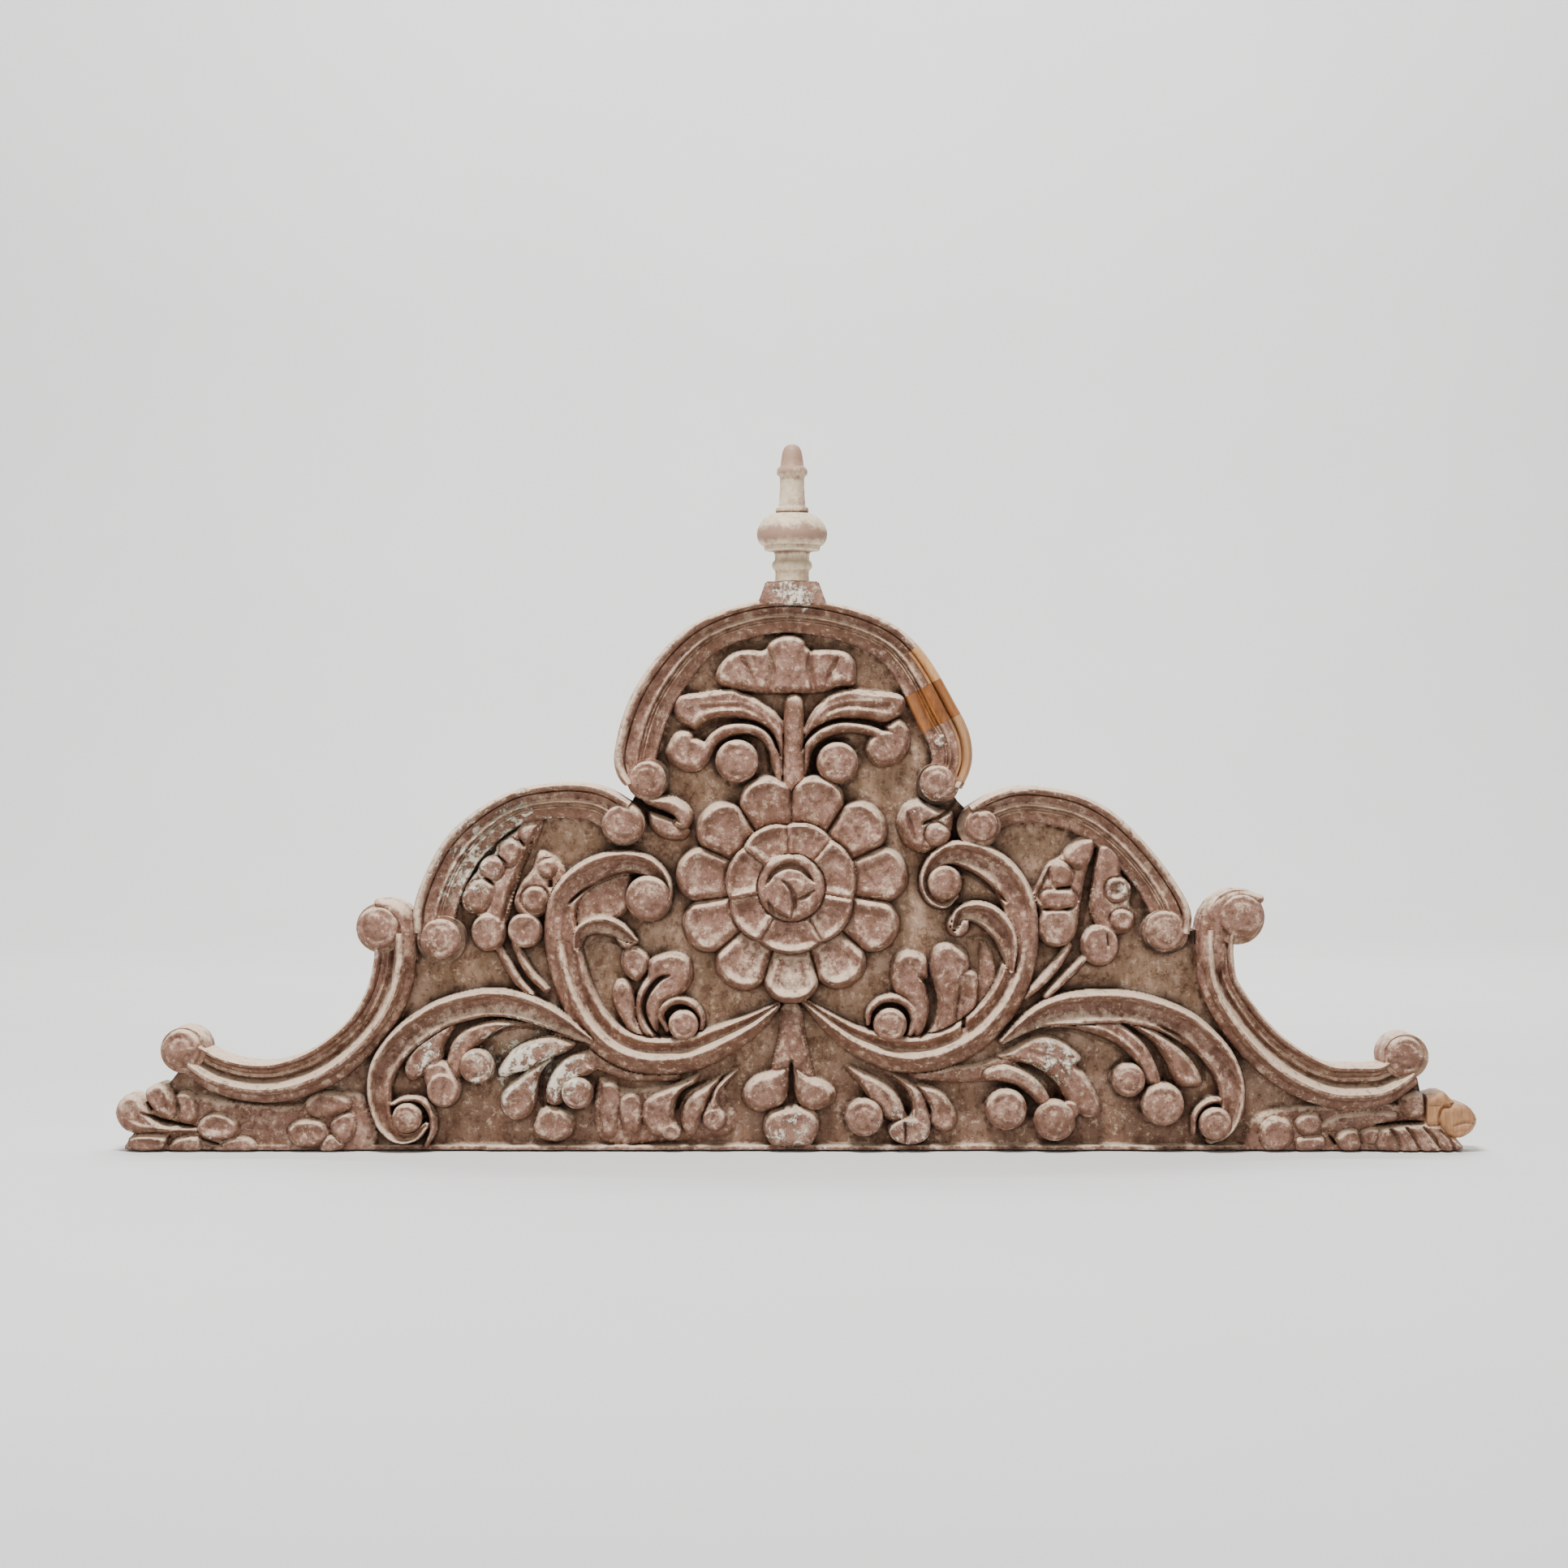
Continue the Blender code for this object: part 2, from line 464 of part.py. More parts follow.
def finial_axis_height():
    """Height of the finial's axis over the back plane: its ball just clears that plane."""
    return FINIAL_BALL_RADIUS + FINIAL_CLEARANCE


def copy_into(body, other):
    mesh = bpy.data.meshes.new("scratch")
    other.to_mesh(mesh)
    other.free()
    body.from_mesh(mesh)
    bpy.data.meshes.remove(mesh)


def stand_up():
    """From lying on the back plane to standing on the underside, front to -Y."""
    return Matrix.Translation((0.0, BACK_Y, 0.0)) @ Matrix.Rotation(math.radians(90), 4, "X")


def material(name):
    made = bpy.data.materials.new(name)
    made.use_nodes = True
    shader = made.node_tree.nodes["Principled BSDF"]
    colour, roughness = COLOURS[name]
    shader.inputs["Base Color"].default_value = (*colour, 1.0)
    shader.inputs["Roughness"].default_value = roughness
    shader.inputs["Metallic"].default_value = 0.0
    return made


def as_object(body, name, collection, slot=None):
    bmesh.ops.recalc_face_normals(body, faces=body.faces)
    body.transform(stand_up())
    mesh = bpy.data.meshes.new(name)
    body.to_mesh(mesh)
    body.free()
    made = bpy.data.objects.new(name, mesh)
    if slot is not None:
        mesh.materials.append(slot)
    collection.objects.link(made)
    return made


def as_cutter(body, name, collection):
    made = as_object(body, name, collection)
    made.hide_render = True
    made.display_type = "WIRE"
    return made


def cut(target, cutter, operation="DIFFERENCE"):
    modifier = target.modifiers.new(cutter.name, "BOOLEAN")
    modifier.operation = operation
    modifier.solver = "EXACT"
    modifier.object = cutter


def drop_specks(mesh):
    """Keeps the largest shell only: a pocket smaller than a voxel can stay behind inside it."""
    body = bmesh.new()
    body.from_mesh(mesh)
    left = set(body.verts)
    shells = []
    while left:
        shell = [left.pop()]
        for vert in shell:
            for edge in vert.link_edges:
                other = edge.other_vert(vert)
                if other in left:
                    left.remove(other)
                    shell.append(other)
        shells.append(shell)
    shells.sort(key=len)
    bmesh.ops.delete(body, geom=[vert for shell in shells[:-1] for vert in shell], context="VERTS")
    body.to_mesh(mesh)
    body.free()


def arch_insert(span, across, grow=0.0, ceiling=None):
    """A stretch of the arch moulding as its own closed body, let in REPAIR_DEPTH deep."""
    body = bmesh.new()
    line, widths = part_of_line(*line_in_metres(ARCH), *span)
    section = relief_section(MOULDING_SECTION, MOULDING_RELIEF)
    if ceiling is not None:
        section = [(t, ceiling) for t, _ in section]
    floor = BOARD_DEPTH + MOULDING_RELIEF - REPAIR_DEPTH - grow
    loft(body, line, widths, section, floor, across, grow)
    return body


def leaf_tip(grow=0.0, back=JOINT_GAP):
    """Rounded end of the right leaf, flat where it is glued on and at the height back."""
    body = bmesh.new()
    x, y, half_width, half_height = TIP_LOBE
    dome(body, cushion(LEAF_FLATNESS), x, y, half_width + grow / SQUARE, half_height + grow / SQUARE,
         BOARD_DEPTH + LEAF_RELIEF + grow)
    joint_x = grid(TIP_JOINT, 0)[0] + JOINT_GAP - grow
    for plane_co, plane_no in (((joint_x, 0, 0), (-1, 0, 0)), ((0, 0, back), (0, 0, -1))):
        bmesh.ops.bisect_plane(body, geom=[*body.verts, *body.edges, *body.faces],
                               plane_co=plane_co, plane_no=plane_no, clear_outer=True)
        bmesh.ops.holes_fill(body, edges=[edge for edge in body.edges if edge.is_boundary])
    return body


def make_panel(parts, cutters, paint):
    body = bmesh.new()
    add_board(body)
    add_ledge(body)
    add_frame(body)
    add_leaves(body)
    add_shell(body)
    add_rosette(body)
    add_pedestal(body)
    panel = as_object(body, "carved_panel", parts, paint)

    remesh = panel.modifiers.new("one_surface", "REMESH")
    remesh.mode = "VOXEL"
    remesh.voxel_size = PANEL_LENGTH / VOXELS_PER_LENGTH
    remesh.adaptivity = 0.0
    bpy.context.view_layer.update()
    panel.data = bpy.data.meshes.new_from_object(panel.evaluated_get(bpy.context.evaluated_depsgraph_get()))
    panel.modifiers.remove(remesh)
    drop_specks(panel.data)

    thin = panel.modifiers.new("fewer_faces", "DECIMATE")
    thin.decimate_type = "COLLAPSE"
    thin.use_collapse_triangulate = True
    thin.ratio = PANEL_TRIANGLES / (2 * len(panel.data.polygons))

    keep = bmesh.new()
    half = PANEL_LENGTH
    block(keep, (-half, 0.0, 0.0), (half, PANEL_LENGTH, CEILING))
    cut(panel, as_cutter(keep, "cut_flat_back_and_underside", cutters), "INTERSECT")
    seat = bmesh.new()
    x, pedestal_top = grid(FINIAL_X, PEDESTAL_TOP)
    block(seat, (x - PEDESTAL_WIDTH, pedestal_top, BELOW_BACK),
          (x + PEDESTAL_WIDTH, pedestal_top + PEDESTAL_HEIGHT, PEDESTAL_DEPTH * 2))
    cut(panel, as_cutter(seat, "cut_pedestal_top", cutters))
    return panel


def make_finial(parts, paint):
    outline = [(radius * FINIAL_BALL_RADIUS, -share * FINIAL_HEIGHT) for share, radius in FINIAL_PROFILE]
    mesh = bpy.data.meshes.new("finial")
    mesh.from_pydata([(x, 0.0, z) for x, z in outline], [(i, i + 1) for i in range(len(outline) - 1)], [])
    finial = bpy.data.objects.new("finial", mesh)
    mesh.materials.append(paint)
    parts.objects.link(finial)
    x, pedestal_top = grid(FINIAL_X, PEDESTAL_TOP)
    finial.location = (x, BACK_Y - finial_axis_height(), pedestal_top + JOINT_GAP + FINIAL_HEIGHT)
    screw = finial.modifiers.new("turned", "SCREW")
    screw.steps = TURNED_STEPS
    screw.render_steps = TURNED_STEPS
    screw.use_merge_vertices = True
    screw.merge_threshold = 0.00001
    return finial


def make_repairs(parts, cutters, panel, new_wood, dark_new_wood):
    inserts = (
        ("arch_lower_strip", LOWER_STRIP_LENGTH, (0.0, EDGE_STRIP_SHARE), new_wood),
        ("arch_block", BLOCK_LENGTH, (0.0, 1.0), dark_new_wood),
        ("arch_upper_strip", UPPER_STRIP_LENGTH, (0.0, EDGE_STRIP_SHARE), new_wood),
    )
    end = 1.0 - FOOT_LEFT_OLD
    for name, length, across, wood in inserts:
        span = (end - length, end)
        end -= length
        as_object(arch_insert(span, across, -JOINT_GAP / 2), name, parts, wood)
        slot = arch_insert(span, (across[0] - SLOT_OVERRUN, across[1]), JOINT_GAP / 2, CEILING)
        cut(panel, as_cutter(slot, "slot_" + name, cutters))
    as_object(leaf_tip(), "leaf_tip", parts, new_wood)
    cut(panel, as_cutter(leaf_tip(JOINT_GAP, BELOW_BACK), "slot_leaf_tip", cutters))


def main():
    for old in list(bpy.data.objects):
        bpy.data.objects.remove(old, do_unlink=True)
    scene = bpy.context.scene
    parts = bpy.data.collections.new(OBJECT_NAME)
    cutters = bpy.data.collections.new("cutters")
    scene.collection.children.link(parts)
    scene.collection.children.link(cutters)
    panel = make_panel(parts, cutters, material("worn_paint"))
    make_finial(parts, material("cream_paint"))
    make_repairs(parts, cutters, panel, material("new_wood"), material("dark_new_wood"))


main()
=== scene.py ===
import math

import bmesh
import bpy
import numpy as np
from mathutils import Matrix, Vector


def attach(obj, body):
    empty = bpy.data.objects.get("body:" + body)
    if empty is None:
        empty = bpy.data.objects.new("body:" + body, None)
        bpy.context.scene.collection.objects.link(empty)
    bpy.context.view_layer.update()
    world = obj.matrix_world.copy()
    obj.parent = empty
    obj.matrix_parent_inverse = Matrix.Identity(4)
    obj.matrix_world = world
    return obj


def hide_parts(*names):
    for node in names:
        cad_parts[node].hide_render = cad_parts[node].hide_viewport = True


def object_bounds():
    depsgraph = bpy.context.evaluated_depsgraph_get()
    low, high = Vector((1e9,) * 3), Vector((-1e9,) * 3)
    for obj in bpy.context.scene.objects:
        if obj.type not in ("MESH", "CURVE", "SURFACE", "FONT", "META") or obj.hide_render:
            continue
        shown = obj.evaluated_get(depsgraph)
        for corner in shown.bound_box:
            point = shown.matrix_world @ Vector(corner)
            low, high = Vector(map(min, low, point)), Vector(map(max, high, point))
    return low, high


# Carved over-door crest in worn mauve paint, with a turned finial and four new-wood repairs.
# Shapes are drawn on the same grid as the CAD: x to the right, y down, 1682 squares to 1.3 m.
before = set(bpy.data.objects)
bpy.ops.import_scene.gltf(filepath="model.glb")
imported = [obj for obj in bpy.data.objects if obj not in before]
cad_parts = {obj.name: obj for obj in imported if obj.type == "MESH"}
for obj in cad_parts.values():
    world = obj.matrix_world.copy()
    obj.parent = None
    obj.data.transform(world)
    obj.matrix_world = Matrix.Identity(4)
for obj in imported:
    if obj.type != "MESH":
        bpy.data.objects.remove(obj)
cadLow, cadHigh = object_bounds()

drawing = dict(length=1.3, squares=1682, centre=975, base=1418)
board = dict(back=0.020, depth=24.0, moulding=30.0, scroll=27.0, leaf=21.0, disc=31.0)
square = drawing["length"] / drawing["squares"]
groundHigh = board["depth"]


def toX(x):
    return (x - drawing["centre"]) * square


def toZ(up):
    return up * square


def upwards(points):
    line = np.array(points, float)
    line[:, 1] = drawing["base"] - line[:, 1]
    return line


def catmull(a, b, c, d, t):
    # from b to c
    square, cube = 2 * a - 5 * b + 4 * c - d, 3 * b - a - 3 * c + d
    return 0.5 * (2 * b + (c - a) * t + square * t ** 2 + cube * t ** 3)


def smoothLine(points, gap=2.0):
    # a curve through the points, then an even step along it; further columns follow along
    line = upwards(points)
    knots = np.vstack((2 * line[:1] - line[1:2], line, 2 * line[-1:] - line[-2:-1]))
    t = np.linspace(0, 1, 14, endpoint=False)[:, None]
    runs = [catmull(*four, t) for four in zip(knots, knots[1:], knots[2:], knots[3:])]
    fine = np.vstack(runs + [line[-1:]])
    steps = np.hypot(*np.diff(fine[:, :2], axis=0).T)
    far = np.concatenate(([0.0], np.cumsum(steps)))
    places = np.linspace(0, far[-1], max(3, int(far[-1] / gap) + 1))
    return np.column_stack([np.interp(places, far, fine[:, k]) for k in range(fine.shape[1])])


def stretchOf(line, start, end):
    steps = np.hypot(*np.diff(line[:, :2], axis=0).T)
    far = np.concatenate(([0.0], np.cumsum(steps))) / steps.sum()
    places = np.concatenate(([start], far[(far > start) & (far < end)], [end]))
    return np.column_stack([np.interp(places, far, line[:, k]) for k in range(line.shape[1])])


def normalsOf(line):
    way = np.gradient(line[:, :2], axis=0)
    way /= np.maximum(np.hypot(way[:, 0], way[:, 1]), 1e-9)[:, None]
    return way, np.column_stack((-way[:, 1], way[:, 0]))


# Mouldings: points on the middle line with the width there, outer edge on the left
mouldings = dict(
    arch=((790, 962, 44), (783, 930, 52), (809, 854, 52), (873, 783, 45), (977, 758, 43),
          (1095, 792, 45), (1157, 885, 52), (1173, 930, 50), (1164, 966, 44)),
    leftShoulder=((534, 1150, 48), (536, 1120, 52), (550, 1080, 50), (570, 1046, 50), (600, 1017, 46),
                  (634, 996, 43), (668, 988, 44), (706, 986, 46), (739, 992, 47), (765, 1008, 48)),
    rightShoulder=((1205, 1012, 44), (1228, 999, 44), (1258, 991, 46), (1298, 994, 46), (1332, 1004, 46),
                   (1362, 1022, 46), (1394, 1052, 44), (1424, 1090, 44), (1443, 1126, 48), (1442, 1148, 48)),
    leftEar=((236, 1306, 44), (266, 1324, 48), (305, 1334, 50), (347, 1333, 52), (395, 1316, 52),
             (435, 1286, 50), (463, 1253, 50), (479, 1219, 50), (486, 1185, 50), (486, 1150, 48)),
    rightEar=((1497, 1146, 46), (1497, 1180, 46), (1503, 1215, 46), (1524, 1252, 50), (1556, 1290, 52),
              (1595, 1320, 54), (1635, 1338, 54), (1672, 1341, 56), (1706, 1337, 52), (1738, 1318, 46)),
)
# share of the way in from the outer edge, share of the relief
archProfile = ((0, .70), (.02, .86), (.05, .95), (.10, 1), (.15, .99), (.19, .94), (.215, .86), (.235, .64),
               (.26, .62), (.275, .74), (.31, .71), (.36, .66), (.42, .645), (.47, .67), (.505, .73),
               (.53, .80), (.555, .80), (.575, .74), (.59, .66), (.61, .69), (.63, .735), (.65, .70),
               (.665, .64), (.685, .69), (.705, .70), (.725, .65), (.745, .58), (.80, .53), (.86, .49),
               (.91, .47), (.95, .48), (.98, .44), (1, .34))
earProfile = ((0, .80), (.02, .90), (.05, .93), (.10, .90), (.125, .80), (.14, .60), (.16, .58), (.18, .64),
              (.22, .62), (.27, .56), (.31, .62), (.345, .64), (.37, .54), (.42, .48), (.46, .52), (.50, .66),
              (.54, .84), (.58, .96), (.63, 1), (.69, .98), (.735, .88), (.765, .72), (.785, .54), (.81, .50),
              (.86, .50), (.92, .46), (.97, .40), (1, .22))
profileOf = dict(arch=archProfile, leftShoulder=archProfile, rightShoulder=archProfile,
                 leftEar=earProfile, rightEar=earProfile)
leftFoot = ((166, 1418), (166, 1402), (158, 1390), (160, 1368), (196, 1346), (222, 1312))
rightFoot = ((1752, 1330), (1757, 1356), (1757, 1386), (1776, 1388), (1786, 1402), (1799, 1406), (1799, 1418))
boardOutline = np.vstack([upwards(leftFoot)]
                         + [smoothLine(mouldings[k])[:, :2] for k in
                            ("leftEar", "leftShoulder", "arch", "rightShoulder", "rightEar")]
                         + [upwards(rightFoot)])

# The relief map: heights in millimetres over the back, on a grid of the drawing's squares
relief = dict(step=1.2, left=132, right=1828, top=740, triangles=186000, rimPasses=3, seed=4)
xs = np.arange(relief["left"], relief["right"] + relief["step"], relief["step"])
ups = np.arange(0, drawing["base"] - relief["top"], relief["step"])
gridX, gridUp = np.meshgrid(xs, ups)
rng = np.random.default_rng(relief["seed"])


def softNoise(size, stretch=1.0):
    # smooth random bumps of about that size in squares, from -1 to 1
    rows, cols = int(ups[-1] / (size * stretch)) + 4, int((xs[-1] - xs[0]) / size) + 4
    coarse = rng.random((rows, cols)) * 2 - 1
    u, v = (gridX - xs[0]) / size, gridUp / (size * stretch)
    i, j = u.astype(int), v.astype(int)
    s, t = u - i, v - j
    s, t = s * s * (3 - 2 * s), t * t * (3 - 2 * t)
    return ((coarse[j, i] * (1 - s) + coarse[j, i + 1] * s) * (1 - t)
            + (coarse[j + 1, i] * (1 - s) + coarse[j + 1, i + 1] * s) * t)


def blur(values, radius):
    # three box blurs, each with a running sum
    reach = max(1, int(round(radius / relief["step"])))
    for _ in range(3):
        for axis in (0, 1):
            pad = [(reach + 1, reach) if a == axis else (0, 0) for a in (0, 1)]
            total = np.cumsum(np.pad(values, pad, mode="edge"), axis=axis)
            size = values.shape[axis]
            values = (np.take(total, range(2 * reach + 1, 2 * reach + 1 + size), axis)
                      - np.take(total, range(size), axis)) / (2 * reach + 1)
    return values


def insideOf(outline, rows=slice(None), cols=slice(None)):
    down, across = ups[rows], xs[cols]
    inside = np.zeros((len(down), len(across)), bool)
    for (x1, y1), (x2, y2) in zip(outline, np.roll(outline, -1, axis=0)):
        if y1 == y2:
            continue
        level = (down > min(y1, y2)) & (down <= max(y1, y2))
        crossing = x1 + (down[level] - y1) * (x2 - x1) / (y2 - y1)
        inside[level] ^= across[None, :] < crossing[:, None]
    return inside


def patch(x, up, reach):
    return (slice(*np.searchsorted(ups, (up - reach, up + reach))),
            slice(*np.searchsorted(xs, (x - reach, x + reach))))


def alongBand(points, gap=2.0):
    # rows and columns of the grid points under a band, their share across it and along it
    line = smoothLine(points, gap)
    way, side = normalsOf(line)
    best = np.full(gridX.shape, 1e9, np.float32)
    pick = np.full(gridX.shape, -1, np.int32)
    for index, (x, up, width) in enumerate(line):
        spot = patch(x, up, width / 2 + 2)
        far = (xs[spot[1]] - x)[None, :] ** 2 + (ups[spot[0]] - up)[:, None] ** 2
        near = far < best[spot]
        best[spot][near] = far[near]
        pick[spot][near] = index
    rows, cols = np.nonzero(pick >= 0)
    found = pick[rows, cols]
    dx, dy = xs[cols] - line[found, 0], ups[rows] - line[found, 1]
    across = dx * side[found, 0] + dy * side[found, 1]
    beyond = dx * way[found, 0] + dy * way[found, 1]
    past = ((found == 0) & (beyond < 0)) | ((found == len(line) - 1) & (beyond > 0))
    # the ends are round
    across = np.where(past, np.copysign(np.hypot(dx, dy), across), across)
    share = 0.5 - across / line[found, 2]
    keep = (share >= 0) & (share <= 1)
    return rows[keep], cols[keep], share[keep], (found / (len(line) - 1))[keep]


def readProfile(profile, share):
    return np.interp(share, [t for t, _ in profile], [h for _, h in profile])


def raiseBand(field, points, profile, high, over=False):
    rows, cols, share, far = alongBand(points)
    made = groundHigh + high * readProfile(profile, share)
    before = field[rows, cols]
    field[rows, cols] = made if over else np.maximum(before, made)


def cutBand(field, points, depth):
    # a knife cut: deepest in the middle, never below a little under the ground
    rows, cols, share, far = alongBand(points)
    hollow = np.clip(1.6 * (1 - np.abs(2 * share - 1)), 0, 1) * np.clip(8 * far * (1 - far) + 0.3, 0, 1)
    before = field[rows, cols]
    field[rows, cols] = np.maximum(before - depth * hollow, np.minimum(before, groundHigh - 3))


def raiseForm(field, x, y, halfWidth, halfHeight, turn, top, dish=0.0, over=False, lip=0.80, low=groundHigh):
    # a lobe, petal or button: steep sides, a rounded lip, and a hollow of that share inside the lip
    up = drawing["base"] - y
    rows, cols = patch(x, up, max(halfWidth, halfHeight) + 2)
    dx, dy = xs[cols][None, :] - x, ups[rows][:, None] - up
    c, s = math.cos(math.radians(turn)), math.sin(math.radians(turn))
    u, v = (dx * c + dy * s) / halfWidth, (dy * c - dx * s) / halfHeight
    r = np.hypot(u, v)
    side = np.sqrt(np.clip(1 - (np.clip(r - lip, 0, None) / (1 - lip)) ** 2, 0, 1))
    bowl = 1 - dish * np.clip(1 - r / lip, 0, 1) ** 0.8 * 1.25
    made = low + (top - low) * np.clip(side * bowl, 0, 1.0)
    inside = r < 1
    before = field[rows, cols]
    over = inside & (r < lip + 0.1) if over else np.zeros_like(inside)
    field[rows, cols] = np.where(over, made, np.where(inside, np.maximum(before, made), before))


print("relief map", gridX.shape)

# Running carving: C-scrolls, with the outer edge on the left
scrollProfiles = dict(
    roll=((0, .12), (.03, .34), (.09, .45), (.18, .52), (.26, .60), (.31, .76), (.36, .92), (.43, 1),
          (.50, .95), (.545, .82), (.575, .60), (.61, .50), (.68, .47), (.75, .52), (.80, .68), (.85, .80),
          (.90, .78), (.95, .60), (1, .12)),
    cove=((0, .34), (.03, .74), (.08, .93), (.15, 1), (.22, .97), (.28, .86), (.32, .60), (.36, .52),
          (.46, .50), (.58, .52), (.70, .57), (.80, .64), (.88, .72), (.94, .70), (.97, .56), (1, .12)),
)
# points, the two profiles it goes from and to, and where along it that change lies
scrolls = (
    (((958, 1240, 8), (928, 1262, 28), (889, 1283, 42), (844, 1300, 47), (792, 1301, 49), (754, 1286, 48),
        (727, 1258, 47), (708, 1222, 46), (697, 1186, 46), (691, 1154, 44), (691, 1122, 38), (702, 1096, 36),
        (728, 1075, 36), (757, 1065, 34), (783, 1064, 30), (803, 1071, 25), (818, 1088, 19), (820, 1108, 15),
        (810, 1127, 11)), "roll", "cove", (.56, .70)),
    (((1178, 1104, 8), (1164, 1114, 12), (1148, 1107, 14), (1141, 1090, 16), (1146, 1071, 19),
        (1160, 1056, 24), (1181, 1051, 32), (1211, 1060, 40), (1238, 1081, 42), (1255, 1110, 42),
        (1261, 1149, 40), (1257, 1186, 42), (1244, 1222, 44), (1220, 1256, 46), (1188, 1282, 48),
        (1143, 1299, 48), (1098, 1298, 46), (1055, 1282, 36), (1022, 1260, 24), (992, 1236, 8)),
        "cove", "roll", (.36, .50)),
    (((524, 1388, 8), (510, 1401, 12), (490, 1402, 16), (474, 1386, 22), (467, 1361, 28), (466, 1338, 31),
        (471, 1317, 34), (483, 1297, 36), (501, 1278, 37), (523, 1262, 37), (546, 1249, 37), (572, 1241, 37),
        (600, 1236, 36), (630, 1238, 36), (658, 1246, 34), (690, 1261, 26), (726, 1282, 10)),
        "cove", "cove", (0, 1)),
    (((1236, 1284, 8), (1260, 1266, 20), (1286, 1251, 32), (1316, 1244, 42), (1359, 1241, 44),
        (1397, 1243, 42), (1432, 1252, 40), (1462, 1266, 40), (1486, 1285, 38), (1505, 1306, 36),
        (1517, 1331, 33), (1520, 1356, 30), (1516, 1379, 26), (1506, 1396, 18), (1492, 1405, 10)),
        "cove", "cove", (0, 1)),
    (((710, 1168, 8), (715, 1150, 16), (727, 1142, 20), (742, 1140, 24), (757, 1144, 22), (770, 1152, 18),
        (782, 1160, 8)), "cove", "cove", (0, 1)),
    (((1176, 1142, 10), (1184, 1126, 18), (1204, 1124, 28), (1222, 1132, 32), (1236, 1148, 30),
        (1243, 1168, 24), (1246, 1196, 8)), "cove", "cove", (0, 1)),
)

stripProfiles = dict(
    plump=((0, .2), (.05, .60), (.12, .84), (.25, .97), (.42, 1), (.60, .97), (.80, .84), (.93, .60),
           (1, .2)),
    ridge=((0, 0), (.2, .34), (.38, .86), (.5, 1), (.62, .86), (.8, .34), (1, 0)),
)

